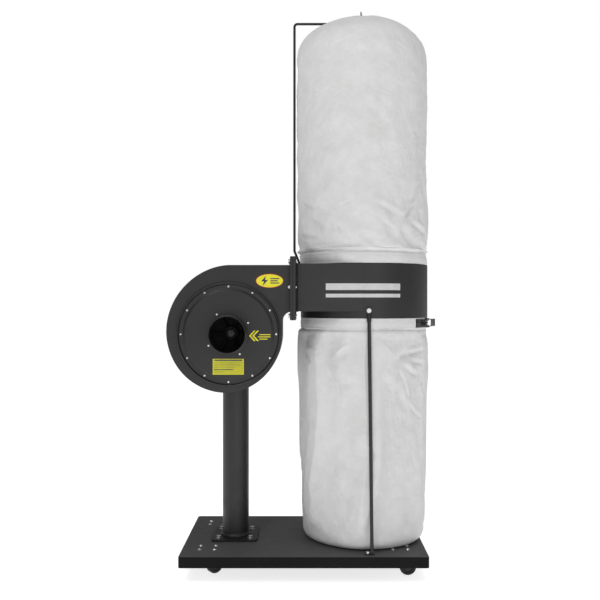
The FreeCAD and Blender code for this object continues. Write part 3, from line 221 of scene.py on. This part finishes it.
NODE_MATERIALS = {
    POWDER: ["volute_front_plate", "volute_back_plate", "volute_wrapper", "inlet_cover", "inlet_collar",
             "blower_outlet_flange", "drum_inlet_flange", "drum_shell", "inlet_duct", "post_tube",
             "post_foot_plate", "post_saddle", "motor_frame", "motor_foot", "fan_cowl", "capacitor_cover"],
    SOOT: ["impeller_wheel", "impeller_blades"],
    SKIRT: ["base_plate"],
    ROD: ["bag_hanger_rod", "front_leg", "rear_legs", "hanger_clips", "front_left_fork", "front_right_fork",
          "rear_left_fork", "rear_right_fork"],
    ZINC: ["cover_screws", "base_bolts", "post_bolts", "flange_bolts", "motor_face_bolts", "caster_plates"],
    DARK_STEEL: ["lower_band_clamp", "upper_band_clamp", "lower_latch_lever", "upper_latch_lever",
                 "lower_latch_loop", "upper_latch_loop", "impeller_bolt"],
    BARE_STEEL: ["bearing_inner_races", "bearing_outer_races", "motor_rotor", "stator"],
    CAST: ["front_end_bell", "rear_end_bell", "capacitor"],
    RUBBER: ["front_left_wheel", "front_right_wheel", "rear_left_wheel", "rear_right_wheel"],
    # the gasket's lip in front of the duct: black foam and painted shade
    GASKET_AND_SHADE: ["outlet_gasket"],
    PLASTIC: ["switch_box", "cable_gland", "cooling_fan"],
    RED: ["switch_rocker"],
    YELLOW: ["blower_labels"],
    SILVER_INK: ["drum_stripe"],
    FELT: ["upper_filter_bag", "lower_dust_bag"],
}
for material, names in NODE_MATERIALS.items():
    for name in names:
        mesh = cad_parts[name].data
        mesh.materials.clear()
        mesh.materials.append(material)


# ---------------------------------------------------------------- mesh helpers
def make_object(name, vertices, faces, material, body="frame", rounded=True):
    """A mesh object that rides on body and takes its finish from material; rounded turns smooth shading on.
    """
    mesh = bpy.data.meshes.new(name)
    mesh.from_pydata([tuple(v) for v in vertices], [], faces)
    mesh.materials.append(material)
    for polygon in mesh.polygons:
        polygon.use_smooth = rounded
    piece = bpy.data.objects.new(name, mesh)
    bpy.context.scene.collection.objects.link(piece)
    if body:
        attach(piece, body)
    return piece


def evaluated(piece):
    """The piece's vertices and faces with its modifiers applied."""
    done = piece.evaluated_get(bpy.context.evaluated_depsgraph_get()).to_mesh()
    places = np.empty(len(done.vertices) * 3, np.float32)
    done.vertices.foreach_get("co", places)
    return places.reshape(-1, 3).astype(float), [tuple(p.vertices) for p in done.polygons]


def ring_faces(rows, count):
    """Quads between successive rings of count points."""
    quads = []
    for first in range(0, (rows - 1) * count, count):
        for k in range(count):
            ahead = (k + 1) % count
            quads.append((first + k, first + ahead, first + count + ahead, first + count + k))
    return quads


def revolve(profile, count):
    """Points of a surface of revolution about the drum's axis; profile is (radius, height)."""
    angles = np.arange(count) * 2 * math.pi / count
    rings = [np.column_stack([AXIS[0] + r * np.cos(angles), AXIS[1] + r * np.sin(angles), np.full(count, z)])
             for r, z in profile]
    return np.vstack(rings)


def polar(points):
    """Angle in degrees and radius about the drum's axis."""
    offset = points[:, :2] - AXIS
    return np.degrees(np.arctan2(offset[:, 1], offset[:, 0])), np.hypot(offset[:, 0], offset[:, 1])


def set_radius(points, radius):
    """Moves points towards or away from the drum's axis."""
    offset = points[:, :2] - AXIS
    now = np.maximum(np.hypot(offset[:, 0], offset[:, 1]), 1e-9)
    points[:, :2] = AXIS + offset * (radius / now)[:, None]


def soft_step(share):
    """0 below 0, 1 above 1, with a soft step between."""
    share = np.clip(share, 0, 1)
    return share * share * (3 - 2 * share)


def near(angle, places, width):
    """1 at the given angles, falling to 0 a few widths away."""
    total = np.zeros(len(angle))
    for place in places:
        away = (angle - place + 180) % 360 - 180
        total = np.maximum(total, np.exp(-(away / width) ** 2))
    return total


def arc(radius, height, centre_z, start, end, steps, centre_r=0.0, power=1.0):
    """Profile points on an ellipse quarter between two angles in degrees, fuller when power is below 1."""
    def bent(value):
        return math.copysign(abs(value) ** power, value)
    turns = [math.radians(angle) for angle in np.linspace(start, end, steps)]
    return [(centre_r + radius * bent(math.cos(a)), centre_z + height * bent(math.sin(a))) for a in turns]


def lean(points, start, end, amount):
    """Shifts points towards the blower, from nothing at height start to the whole amount at height end."""
    points[:, 0] -= amount * soft_step((points[:, 2] - start) / (end - start))


def lean_hem(points, above_drum):
    """The hem follows its bag's sag."""
    if above_drum:
        lean(points, UPPER_LOW.z, HEM_SEAM["upper"], UPPER_LEAN[0])
    else:
        lean(points, LOWER_HIGH.z, HEM_SEAM["lower"] - 0.06, LOWER_LEAN)


def waves(points, length, rng, count=14):
    """Smooth random relief of about unit height, made of plane waves of one length."""
    total = np.zeros(len(points))
    for _ in range(count):
        direction = rng.normal(size=3)
        direction /= np.linalg.norm(direction)
        phase = rng.uniform(0, 2 * math.pi)
        total += np.sin(points @ direction * (2 * math.pi / length) + phase)
    return total / math.sqrt(count)


def fold(points, radius, start, end, width, depth):
    """A crease from start to end, each (angle in degrees, height): a valley with a ridge along one side."""
    angle, _ = polar(points)
    u, v = np.radians(angle) * radius, points[:, 2]
    a = np.array([math.radians(start[0]) * radius, start[1]])
    b = np.array([math.radians(end[0]) * radius, end[1]])
    length = np.linalg.norm(b - a)
    run = (b - a) / length
    share = ((u - a[0]) * run[0] + (v - a[1]) * run[1]) / length
    across = -(u - a[0]) * run[1] + (v - a[1]) * run[0]
    fade_share = 0.3
    fade = soft_step(share / fade_share) * soft_step((1 - share) / fade_share)
    valley = -np.exp(-(across / width) ** 2)
    ridge = 0.75 * np.exp(-((across - 1.7 * width) / (1.2 * width)) ** 2)
    return depth * fade * (valley + ridge)


# ---------------------------------------------------------------- folds of the cloth
# Each row: start and end (degrees round the drum's axis, height in metres), half width and depth.
# The ends of most creases at the front were worked out outside this script and rounded. The rest are given
# one by one. Folds are broad and shape the cloth before it settles; creases are narrow and come after.
UPPER_FOLDS = (
    ((-66, 1.050), (-71, 0.935), 0.008, 0.0075),
    ((-62, 1.075), (-66, 0.960), 0.010, 0.0055),
    ((-82, 1.015), (-58, 0.930), 0.009, 0.0060),
    ((-60, 0.985), (-44, 0.920), 0.011, 0.0080),
    ((-128, 0.985), (-108, 0.975), 0.008, 0.0070),
    ((-150, 1.000), (-126, 0.972), 0.010, 0.0065),
    ((-103, 1.005), (-96, 1.010), 0.005, 0.0060),
    ((-104, 0.950), (-96, 0.922), 0.006, 0.0055),
    ((-138, 0.925), (-94, 0.925), 0.007, 0.0050),
    ((-84, 0.918), (-62, 0.912), 0.007, 0.0045),
    ((-76, 1.300), (-70, 1.130), 0.018, 0.0030),
    ((-118, 1.330), (-108, 1.290), 0.009, 0.0022),
    ((-112, 1.230), (-100, 1.245), 0.008, 0.0020),
    ((-83, 1.260), (-77, 1.285), 0.008, 0.0022),
    ((-98, 1.165), (-88, 1.165), 0.007, 0.0020),
    ((-35, 1.050), (-28, 0.940), 0.010, 0.0070),
    ((10, 1.000), (28, 0.925), 0.010, 0.0070),
    ((52, 1.030), (60, 0.930), 0.011, 0.0065),
    ((88, 0.960), (112, 0.925), 0.009, 0.0070),
    ((138, 1.040), (152, 0.940), 0.010, 0.0065),
    ((168, 0.960), (178, 0.920), 0.008, 0.0060),
)
UPPER_CREASES = (
    ((-112, 1.023), (-102, 1.034), 0.0030, 0.0024),
    ((-117, 0.966), (-111, 0.944), 0.0030, 0.0026),
    ((-112, 0.945), (-104, 0.934), 0.0028, 0.0022),
    ((-95, 0.949), (-85, 0.945), 0.0026, 0.0014),
    ((-136, 1.012), (-123, 1.001), 0.0045, 0.0030),
    ((-164, 1.043), (-134, 1.008), 0.0080, 0.0045),
    ((-84, 1.030), (-57, 0.988), 0.0075, 0.0040),
    ((-57, 0.986), (-43, 1.037), 0.0060, 0.0048),
    ((-46, 1.030), (-34, 1.110), 0.0080, 0.0045),
    ((-52, 0.980), (-23, 0.948), 0.0070, 0.0052),
    ((-83, 1.300), (-77, 1.330), 0.0030, 0.0016),
    ((-78, 1.331), (-70, 1.322), 0.0026, 0.0012),
    ((-128, 1.345), (-116, 1.335), 0.0030, 0.0014),
    ((-163, 0.943), (-130, 0.930), 0.0080, 0.0040),
    ((-116, 1.112), (-105, 1.068), 0.0040, 0.0014),
    ((-30, 1.130), (-24, 1.035), 0.0060, 0.0034),
    ((-76, 0.978), (-68, 0.958), 0.0036, 0.0024),
    ((-124, 1.455), (-100, 1.480), 0.0030, 0.0014),
    ((-66, 1.470), (-52, 1.452), 0.0030, 0.0014),
    ((20, 0.990), (44, 0.945), 0.0060, 0.0040),
    ((70, 1.040), (80, 0.960), 0.0060, 0.0036),
    ((118, 0.985), (140, 0.945), 0.0060, 0.0040),
)
LOWER_FOLDS = (
    ((-118, 0.600), (-104, 0.630), 0.007, 0.0065),
    ((-124, 0.560), (-103, 0.530), 0.009, 0.0060),
    ((-72, 0.560), (-66, 0.505), 0.009, 0.0065),
    ((-70, 0.585), (-44, 0.640), 0.011, 0.0080),
    ((-60, 0.610), (-40, 0.612), 0.008, 0.0070),
    ((-60, 0.530), (-48, 0.440), 0.010, 0.0060),
    ((-86, 0.640), (-72, 0.600), 0.008, 0.0050),
    ((-140, 0.660), (-96, 0.662), 0.008, 0.0040),
    ((-86, 0.655), (-52, 0.650), 0.008, 0.0035),
    ((-158, 0.620), (-140, 0.590), 0.010, 0.0065),
    ((-50, 0.400), (-44, 0.330), 0.010, 0.0035),
    ((-80, 0.235), (-70, 0.195), 0.012, 0.0025),
    ((-20, 0.640), (-6, 0.560), 0.010, 0.0065),
    ((12, 0.630), (30, 0.590), 0.010, 0.0065),
    ((62, 0.600), (82, 0.640), 0.010, 0.0065),
    ((98, 0.570), (116, 0.540), 0.010, 0.0060),
    ((145, 0.620), (165, 0.580), 0.010, 0.0065),
)
LOWER_CREASES = (
    ((-117, 0.612), (-105, 0.640), 0.0030, 0.0028),
    ((-127, 0.568), (-116, 0.536), 0.0040, 0.0024),
    ((-117, 0.540), (-114, 0.500), 0.0050, 0.0022),
    ((-61, 0.572), (-52, 0.532), 0.0042, 0.0034),
    ((-53, 0.538), (-46, 0.486), 0.0050, 0.0034),
    ((-57, 0.582), (-35, 0.548), 0.0070, 0.0045),
    ((-49, 0.612), (-26, 0.622), 0.0060, 0.0040),
    ((-47, 0.594), (-26, 0.581), 0.0060, 0.0040),
    ((-45, 0.470), (-31, 0.428), 0.0045, 0.0030),
    ((-30, 0.542), (-25, 0.480), 0.0050, 0.0030),
    ((-80, 0.238), (-74, 0.212), 0.0035, 0.0014),
    ((-87, 0.652), (-77, 0.640), 0.0035, 0.0016),
    ((-151, 0.470), (-146, 0.360), 0.0090, 0.0024),
    ((-43, 0.345), (-37, 0.280), 0.0060, 0.0018),
    ((20, 0.640), (40, 0.600), 0.0060, 0.0036),
    ((78, 0.620), (96, 0.590), 0.0060, 0.0036),
    ((140, 0.600), (156, 0.560), 0.0060, 0.0036),
)


# ---------------------------------------------------------------- cloth bags
def relax(piece, rest, pinned):
    """Cloth simulation: the sheet is cut larger than the space it fills, so it buckles into folds."""
    piece.shape_key_add(name="Basis")
    cut = piece.shape_key_add(name="cut")
    for point, place in zip(cut.data, rest):
        point.co = place
    pins = piece.vertex_groups.new(name="pins")
    pins.add([int(i) for i in np.flatnonzero(pinned)], 1.0, "REPLACE")
    cloth = piece.modifiers.new("Cloth", "CLOTH")
    settings = cloth.settings
    settings.quality = 6
    settings.mass = 0.15
    settings.tension_stiffness = settings.compression_stiffness = 25.0
    settings.shear_stiffness = 6.0
    settings.bending_stiffness = 2.0
    settings.air_damping = 2.0
    settings.vertex_group_mass = "pins"
    settings.rest_shape_key = cut
    settings.use_pressure = True
    settings.uniform_pressure_force = CLOTH_PRESSURE
    settings.effector_weights.gravity = 0.1
    cloth.collision_settings.use_collision = False
    cloth.point_cache.frame_start, cloth.point_cache.frame_end = 1, CLOTH_FRAMES
    scene = bpy.context.scene
    scene.frame_start, scene.frame_end = 1, CLOTH_FRAMES
    for step in range(1, CLOTH_FRAMES + 1):
        scene.frame_set(step)
    places, _ = evaluated(piece)
    scene.frame_set(1)
    return places


def refine(points, faces, levels):
    """Catmull-Clark subdivision of a mesh."""
    mesh = bpy.data.meshes.new("refine")
    mesh.from_pydata([tuple(p) for p in points], [], faces)
    piece = bpy.data.objects.new("refine", mesh)
    bpy.context.scene.collection.objects.link(piece)
    modifier = piece.modifiers.new("Subdivision", "SUBSURF")
    modifier.levels = modifier.render_levels = levels
    result = evaluated(piece)
    bpy.data.objects.remove(piece)
    return result


def settle(name, points, faces, flat, pinned, surplus, sewn):
    """The sheet after the simulation, with each row's mean radius and the stiff seams put back."""
    _, radius = polar(flat)
    rest = flat.copy()
    rest[:, 2] += surplus(flat[:, 2])
    set_radius(rest, radius * HOOP_SURPLUS)
    piece = make_object(name + "_sheet", points, faces, FELT, None)
    settled = relax(piece, rest, pinned)
    bpy.data.objects.remove(piece)
    _, now = polar(settled)
    shrunk = (radius - now).reshape(-1, BAG_COLUMNS).mean(axis=1)
    set_radius(settled, np.maximum(now + np.repeat(shrunk, BAG_COLUMNS) * (radius > FADE_RADIUS), 0.001))
    held = np.maximum(sewn(flat[:, 2]), CUT_SHARE)[:, None]
    return settled * (1 - held) + points * held


def make_bag(name, profile, folds, creases, surplus, limit, sewn):
    """One bag's cloth. folds are moulded in before the cloth settles and creases pressed in after it.

    surplus(height) is the sheet's extra length, limit(points) the largest radius allowed, and sewn(height)
    goes to 1 where the stiff seams hold the bag's cut shape."""
    rng = np.random.default_rng(SEED)
    flat = revolve(profile, BAG_COLUMNS)
    faces = ring_faces(len(profile), BAG_COLUMNS)
    _, radius = polar(flat)
    relief = sum(height * waves(flat, length, rng) for height, length in RELIEF)
    for start, end, width, depth in folds:
        relief += fold(flat, UPPER_RADIUS, start, end, width, depth)
    ends = np.zeros(len(flat), bool)
    ends[:BAG_COLUMNS] = ends[-BAG_COLUMNS:] = True
    relief[ends] = 0
    points = flat.copy()
    set_radius(points, radius + relief * np.clip(radius / FADE_RADIUS, 0, 1))
    points = settle(name, points, faces, flat, ends, surplus, sewn)
    points, faces = refine(points, faces, 2)
    _, radius = polar(points)
    crumple = sum(height * waves(points, length, rng, count) for height, length, count in CRUMPLE)
    for start, end, width, depth in creases:
        crumple += fold(points, UPPER_RADIUS, start, end, width, depth)
    crumple *= np.clip(radius / FADE_RADIUS, 0, 1)
    set_radius(points, np.minimum(radius + crumple, limit(points)))
    return points, faces


def upper_profile(seam, shoulder):
    """The filter bag from its hem to its crown, as (radius, height)."""
    body = UPPER_RADIUS - 0.0006
    waist_depth, waist_height, waist_length = 0.0022, 0.035, 0.018
    profile = [(HEM_RADIUS - 0.0045, seam - 0.003), (HEM_RADIUS + 0.0010, seam + 0.0005),
               (HEM_RADIUS + 0.0056, seam + 0.0035), (body + 0.0008, seam + 0.0085)]
    profile += [(body - waist_depth * math.exp(-((z - seam - waist_height) / waist_length) ** 2), z)
                for z in np.arange(seam + 0.017, shoulder, BAG_ROW)]
    return profile + arc(body, UPPER_HIGH.z - shoulder, shoulder, 3, 86.5, 24, power=0.95)


def gather_crown(points, shoulder):
    """The cloth is gathered round the middle of the dome, with the hanger's arm lying in a tuck."""
    angle, radius = polar(points)
    gather_radius, gather_width, gather_height = 0.07, 0.045, 0.0011
    pucker = np.sin(np.radians(angle) * 9) + 0.6 * np.sin(np.radians(angle) * 14 + 1.0)
    gathered = np.exp(-((radius - gather_radius) / gather_width) ** 2) * (points[:, 2] > shoulder)
    points[:, 2] += gather_height * pucker * gathered
    tuck_end, tuck_fade, tuck_half, tuck_slope, tuck_gap = 0.016, 0.010, 0.0055, 2.7, 0.0035
    across = np.abs(points[:, 1] - AXIS[1])
    over = np.clip((AXIS[0] + tuck_end - points[:, 0]) / tuck_fade, 0, 1)
    floor = ARM_HEIGHT - ROD_RADIUS - tuck_gap + tuck_slope * np.maximum(across - tuck_half, 0)
    sunk = np.minimum(points[:, 2], np.where(points[:, 2] > shoulder, floor, points[:, 2]))
    points[:, 2] = np.minimum(points[:, 2] * (1 - over) + sunk * over, UPPER_HIGH.z + 0.004)


def make_upper_bag():
    seam = HEM_SEAM["upper"]
    shoulder = UPPER_HIGH.z - DOME_HEIGHT

    def surplus(z):
        above = z - seam
        return 0.012 * above + 0.020 * (1 - np.exp(-above / 0.06))

    def limit(points):
        return np.full(len(points), UPPER_RADIUS + 0.004)

    def sewn(z):
        return np.maximum(soft_step((z - shoulder + 0.03) / 0.07), soft_step((seam + 0.024 - z) / 0.014))

    profile = upper_profile(seam, shoulder)
    points, faces = make_bag("upper_bag", profile, UPPER_FOLDS, UPPER_CREASES, surplus, limit, sewn)
    gather_crown(points, shoulder)
    lean(points, UPPER_LOW.z, seam, UPPER_LEAN[0])
    lean(points, seam, seam + 0.15, UPPER_LEAN[1])
    piece = make_object("upper_bag_cloth", points, close_hole(points, faces), FELT)
    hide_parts("upper_filter_bag")


def lower_profile(seam, floor):
    """The dust bag from its hem down to the middle of its round bottom, as (radius, height)."""
    corner = 0.026
    bulge_depth, bulge_height, bulge_length = 0.0042, 0.590, 0.055
    taper_depth, taper_low, taper_length = 0.0076, 0.10, 0.46

    def side(z):
        bulge = bulge_depth * math.exp(-((z - bulge_height) / bulge_length) ** 2)
        taper = taper_depth * (1 - min(1.0, max(0.0, (z - taper_low) / taper_length)))
        return HEM_RADIUS + 0.0006 + bulge - taper

    profile = [(HEM_RADIUS - 0.0045, seam + 0.003), (HEM_RADIUS - 0.0010, seam - 0.001),
               (HEM_RADIUS + 0.0022, seam - 0.0060)]
    profile += [(side(z), z) for z in np.arange(seam - 0.014, floor + corner, -BAG_ROW)]
    foot = side(floor + corner)
    profile += arc(corner, corner, floor + corner, 0, -90, 7, foot - corner)
    return profile + [(r, floor) for r in np.linspace(foot - corner, 0.012, 12)[1:]]


def make_lower_bag():
    seam, floor = HEM_SEAM["lower"], LOWER_LOW.z + 0.0008

    def surplus(z):
        below = seam - z
        return -(0.010 * below + 0.022 * (1 - np.exp(-below / 0.07)))

    def limit(points):
        """The cloth may bulge by room, but less at its sides low down, and hardly at all behind a leg."""
        room, side_room, leg_room = 0.0080, 0.0055, 0.0068
        angle, _ = polar(points)
        low_down = soft_step((0.57 - points[:, 2]) / 0.10)
        slack = room - side_room * near(angle, (180.0, 0.0), 50.0) * low_down
        return HEM_RADIUS + np.minimum(slack, room - leg_room * near(angle, LEG_ANGLES, 4.5))

    def sewn(z):
        return np.maximum(soft_step((0.16 - z) / 0.07), soft_step((z - seam + 0.024) / 0.014))

    profile = lower_profile(seam, floor)
    points, faces = make_bag("lower_bag", profile, LOWER_FOLDS, LOWER_CREASES, surplus, limit, sewn)
    points[:, 2] = np.maximum(points[:, 2], floor - 0.0003)
    lean(points, LOWER_HIGH.z, seam - 0.06, LOWER_LEAN)
    piece = make_object("lower_bag_cloth", points, close_hole(points, faces), FELT)
    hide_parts("lower_dust_bag")


def close_hole(points, faces):
    """Faces with the small round hole at the bag's middle closed by one polygon."""
    edges = dict.fromkeys(edge for face in faces for edge in zip(face, face[1:] + face[:1]))
    border = {b: a for a, b in edges if (b, a) not in edges}
    _, radius = polar(points)
    inner = {a: b for a, b in border.items() if radius[a] < 0.05}
    start = next(iter(inner))
    loop, here = [start], inner[start]
    while here != start:
        loop.append(here)
        here = inner[here]
    return faces + [tuple(loop)]


def make_hem(name, bottom, top, crease_up):
    """The bag's doubled hem over the strap, with the window that lets the latch through, and its stitches.

    crease_up tells that the bag is above its hem, so the rolled edge is at the top."""
    rng = np.random.default_rng(SEED + 5)
    count, rows = 360, 26
    cloth, lining_gap, stitch_inset = 0.0008, 0.0038, 0.0065
    strap_bulge, strap_half = 0.0008, 0.007
    roll_depth, roll_half = 0.0042, 0.0032
    heights = np.linspace(bottom, top, rows)
    middle = STRAP_MIDDLE[name]
    seam = top if crease_up else bottom
    strap = strap_bulge * np.exp(-((heights - middle) / strap_half) ** 4)
    rolled = roll_depth * np.exp(-((heights - seam) / roll_half) ** 2)
    outer = revolve([(HEM_RADIUS + cloth + s - r, z) for s, r, z in zip(strap, rolled, heights)], count)
    _, radius = polar(outer)
    set_radius(outer, radius + 0.00035 * waves(outer, 0.05, rng) + 0.0002 * waves(outer, 0.018, rng))
    start, end = LATCH_ANGLES[name] + WINDOW[0], LATCH_ANGLES[name] + WINDOW[1]

    def in_window(face):
        angle, _ = polar(outer[list(face)])
        turned = (angle - start) % 360
        height = outer[list(face), 2].mean()
        return turned.max() < end - start and abs(height - middle) < WINDOW_HALF_HEIGHT

    faces = [face for face in ring_faces(rows, count) if not in_window(face)]
    lean_hem(outer, crease_up)
    sheet = make_object(f"{name}_hem", outer, faces, FELT)
    shell = sheet.modifiers.new("Cloth", "SOLIDIFY")
    shell.thickness, shell.offset = 2 * cloth, -1
    inside = HEM_RADIUS - lining_gap
    lining = revolve([(inside, bottom), (inside - 0.0001, middle), (inside, top)], count)
    make_object(f"{name}_hem_lining", lining, ring_faces(3, count), FELT)
    stitch_height = top - stitch_inset if crease_up else bottom + stitch_inset
    make_stitches(f"{name}_hem_stitches", stitch_height, crease_up)


def make_stitches(name, height, above_drum):
    """A row of lockstitches round the hem, each a short bowed length of six-sided thread."""
    stitches, length, thick, sides = 210, 0.0036, 0.00045, 6
    outside, bow = HEM_RADIUS + 0.0008, 0.0005
    half = length / 2 / HEM_RADIUS
    stations = ((-half, 0.0), (-half * 0.5, bow), (half * 0.5, bow), (half, 0.0))
    vertices, faces = [], []
    for k in range(stitches):
        centre = 2 * math.pi * k / stitches
        base = len(vertices)
        for turn, lift in stations:
            angle = centre + turn
            for side in range(sides):
                a = 2 * math.pi * side / sides
                r = outside + lift + thick * math.cos(a)
                vertices.append((AXIS[0] + r * math.cos(angle), AXIS[1] + r * math.sin(angle),
                                 height + thick * math.sin(a)))
        faces += [tuple(base + corner for corner in face) for face in ring_faces(len(stations), sides)]
        last = base + sides * (len(stations) - 1)
        faces += [tuple(base + s for s in reversed(range(sides))), tuple(last + s for s in range(sides))]
    vertices = np.array(vertices)
    lean_hem(vertices, above_drum)
    make_object(name, vertices, faces, THREAD)


# ---------------------------------------------------------------- hanging loop
def ribbon(name, path, width, thickness, material):
    """A flat strap along path, its width along X."""
    vertices, faces = [], []
    path = [Vector(p) for p in path]
    for i, point in enumerate(path):
        ahead = path[min(i + 1, len(path) - 1)] - path[max(i - 1, 0)]
        out = Vector((1, 0, 0)).cross(ahead).normalized() * (thickness / 2)
        for sx, so in ((-1, -1), (1, -1), (1, 1), (-1, 1)):
            vertices.append(point + Vector((sx * width / 2, 0, 0)) + out * so)
        if i:
            b = len(vertices) - 8
            faces += [(b + s, b + (s + 1) % 4, b + 4 + (s + 1) % 4, b + 4 + s) for s in range(4)]
    faces += [(3, 2, 1, 0), tuple(len(vertices) - 4 + s for s in range(4))]
    piece = make_object(name, vertices, faces, material)
    rounding = piece.modifiers.new("Round", "SUBSURF")
    rounding.levels = rounding.render_levels = 1


def make_hanging_loop():
    """The webbing loop sewn to the dome, over the end of the hanger's arm."""
    x, y, z = AXIS[0] - 0.004, AXIS[1], ARM_HEIGHT - 0.004
    steps, rise_height, tilt_x, tilt_y, half_span, flare = 16, 0.032, 0.006, 0.022, 0.012, 0.25
    path = []
    for k in range(steps + 1):
        a = math.pi * k / steps
        rise = math.sin(a) ** 0.8
        spread = half_span * math.cos(a) * (1 + flare * math.cos(a) ** 2)
        path.append((x - tilt_x * rise, y - spread - tilt_y * rise, z + rise_height * rise))
    ribbon("bag_hanging_loop", path, 0.0035, 0.0009, TAPE)


# ---------------------------------------------------------------- labels
def flat_piece(name, outline, y, material, thickness=0.00012):
    """A thin printed shape facing -Y; outline is (x, z) in order."""
    count = len(outline)
    front = [(x, y - thickness, z) for x, z in outline]
    back = [(x, y, z) for x, z in outline]
    faces = [tuple(range(count)), tuple(reversed(range(count, 2 * count)))]
    faces += [(k, k + count, (k + 1) % count + count, (k + 1) % count) for k in range(count)]
    make_object(name, front + back, faces, material, rounded=False)


def rectangle(left, right, low, high):
    """The outline of a printed bar or plate, as (x, z)."""
    return [(left, low), (right, low), (right, high), (left, high)]


def ellipse(x, z, half_width, half_height, steps):
    """Points of an upright oval, as (x, z)."""
    turns = [2 * math.pi * k / steps for k in range(steps)]
    return [(x + half_width * math.cos(a), z + half_height * math.sin(a)) for a in turns]


def make_badge(x, z, half_width, half_height):
    """Print on the oval: a red rim, a lightning sign and three ruled bars."""
    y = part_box("volute_front_plate")[0].y - 0.0004
    steps = 64
    rim = ellipse(x, z, half_width, half_height, steps)
    rim += ellipse(x, z, half_width - 0.0014, half_height - 0.0014, steps)
    vertices = [(rim_x, y - 0.00012, rim_z) for rim_x, rim_z in rim]
    faces = [(k, (k + 1) % steps, (k + 1) % steps + steps, k + steps) for k in range(steps)]
    make_object("badge_rim", vertices, faces, RED_INK, rounded=False)
    sign_x = x - 0.014
    sign = [(0.004, 0.0135), (-0.009, -0.0015), (-0.001, -0.0015),
            (-0.005, -0.0135), (0.010, 0.0025), (0.0015, 0.0025)]
    flat_piece("badge_sign", [(sign_x + dx, z + dz) for dx, dz in sign], y, INK)
    bar_left, bar_pitch, bar_half = x + 0.002, 0.006, 0.0014
    for k, length in enumerate((0.024, 0.020, 0.024)):
        bar_z = z + bar_pitch - bar_pitch * k
        outline = rectangle(bar_left, bar_left + length, bar_z - bar_half, bar_z + bar_half)
        flat_piece(f"badge_bar_{k}", outline, y, INK)


def make_notice(low, high, left, right, cover):
    """Print on the notice plate: its worn film, and ruled bars instead of text."""
    margin = 0.0012
    film = rectangle(left + margin, right - margin, low + margin, high - margin)
    flat_piece("notice_film", film, cover, FILM, thickness=0.00006)
    # distance below the top, height, start and end as shares of the width, ink
    rules = [(0.0035, 0.0032, 0.05, 0.95, INK)]
    line_ends = (0.93, 0.88, 0.95, 0.72)
    rules += [(0.0105 + 0.0042 * k, 0.0011, 0.04, end, FADED_INK) for k, end in enumerate(line_ends)]
    rules += [(0.0290, 0.0020, 0.05, 0.66, INK), (0.0335, 0.0011, 0.05, 0.40, FADED_INK),
              (0.0375, 0.0011, 0.05, 0.34, FADED_INK)]
    width = right - left
    for k, (down, height, start, end, ink) in enumerate(rules):
        z = high - down
        outline = rectangle(left + width * start, left + width * end, z - height / 2, z + height / 2)
        flat_piece(f"notice_rule_{k}", outline, cover, ink)


def make_prints():
    """The badge is at the upper right corner of the labels' box, and the notice plate at its lower edge."""
    low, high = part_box("blower_labels")
    badge_half_width, badge_half_height = 0.0375, 0.019
    make_badge(high.x - badge_half_width, high.z - badge_half_height, badge_half_width, badge_half_height)
    notice_half_width, notice_height = 0.042, 0.0425
    left, right = BLOWER_X - notice_half_width, BLOWER_X + notice_half_width
    make_notice(low.z, low.z + notice_height, left, right, low.y)


# ---------------------------------------------------------------- stage
def make_floor():
    """A lit white table top."""
    size, glow = 14.0, 0.75
    material = surface("pale_floor", grey(0.90), grey(0.92), (0.7, 0.8), patch=0.5, depth=0.00002)
    shader = material.node_tree.nodes["Principled BSDF"]
    shader.inputs["Emission Color"].default_value = (1, 1, 1, 1)
    shader.inputs["Emission Strength"].default_value = glow
    floor = make_object("floor", [(-size, -size, 0), (size, -size, 0), (size, size, 0), (-size, size, 0)],
                        [(0, 1, 2, 3)], material, None)


def make_world():
    """A white studio: seen as plain white, an even soft light on matt surfaces, dim in glossy ones."""
    world = bpy.data.worlds.new("studio")
    bpy.context.scene.world = world
    world.use_nodes = True
    nodes, links = world.node_tree.nodes, world.node_tree.links
    rays = nodes.new("ShaderNodeLightPath")

    def sky(strength):
        node = nodes.new("ShaderNodeBackground")
        node.inputs["Color"].default_value = (1, 1, 1, 1)
        node.inputs["Strength"].default_value = strength
        return node.outputs[0]

    def mix(factor, first, second):
        node = nodes.new("ShaderNodeMixShader")
        links.new(factor, node.inputs["Fac"])
        links.new(first, node.inputs[1])
        links.new(second, node.inputs[2])
        return node.outputs[0]

    lit = mix(rays.outputs["Is Glossy Ray"], sky(SKY_DIFFUSE), sky(SKY_GLOSSY))
    links.new(mix(rays.outputs["Is Camera Ray"], lit, sky(1.0)), nodes["World Output"].inputs["Surface"])


def make_lights():
    """Square soft lights, each aimed at the middle of the machine."""
    for name, place, size, radiance in LIGHTS:
        light = bpy.data.lights.new(name, "AREA")
        light.size, light.energy = size, radiance * math.pi * size * size
        lamp = bpy.data.objects.new(name, light)
        lamp.location = place
        lamp.rotation_euler = (LIGHT_TARGET - lamp.location).to_track_quat("-Z", "Y").to_euler()
        bpy.context.scene.collection.objects.link(lamp)
    bpy.context.scene.view_settings.view_transform = "Standard"


def make_camera():
    """The camera looks along +Y from where the photograph was taken."""
    camera = bpy.data.cameras.new("camera")
    camera.lens, camera.sensor_width = 45.9, 36.0
    camera.shift_x, camera.shift_y = -0.0083, 0.0067
    view = bpy.data.objects.new("camera", camera)
    view.location = (0.0035, -2.249, 0.752)
    view.rotation_euler = (math.pi / 2, 0, 0)
    bpy.context.scene.collection.objects.link(view)
    bpy.context.scene.camera = view


make_camera()
make_floor()
make_world()
make_lights()
make_upper_bag()
make_lower_bag()
make_hem("upper", UPPER_LOW.z, HEM_SEAM["upper"], True)
make_hem("lower", HEM_SEAM["lower"], LOWER_HIGH.z, False)
make_hanging_loop()
make_prints()

bpy.context.view_layer.update()
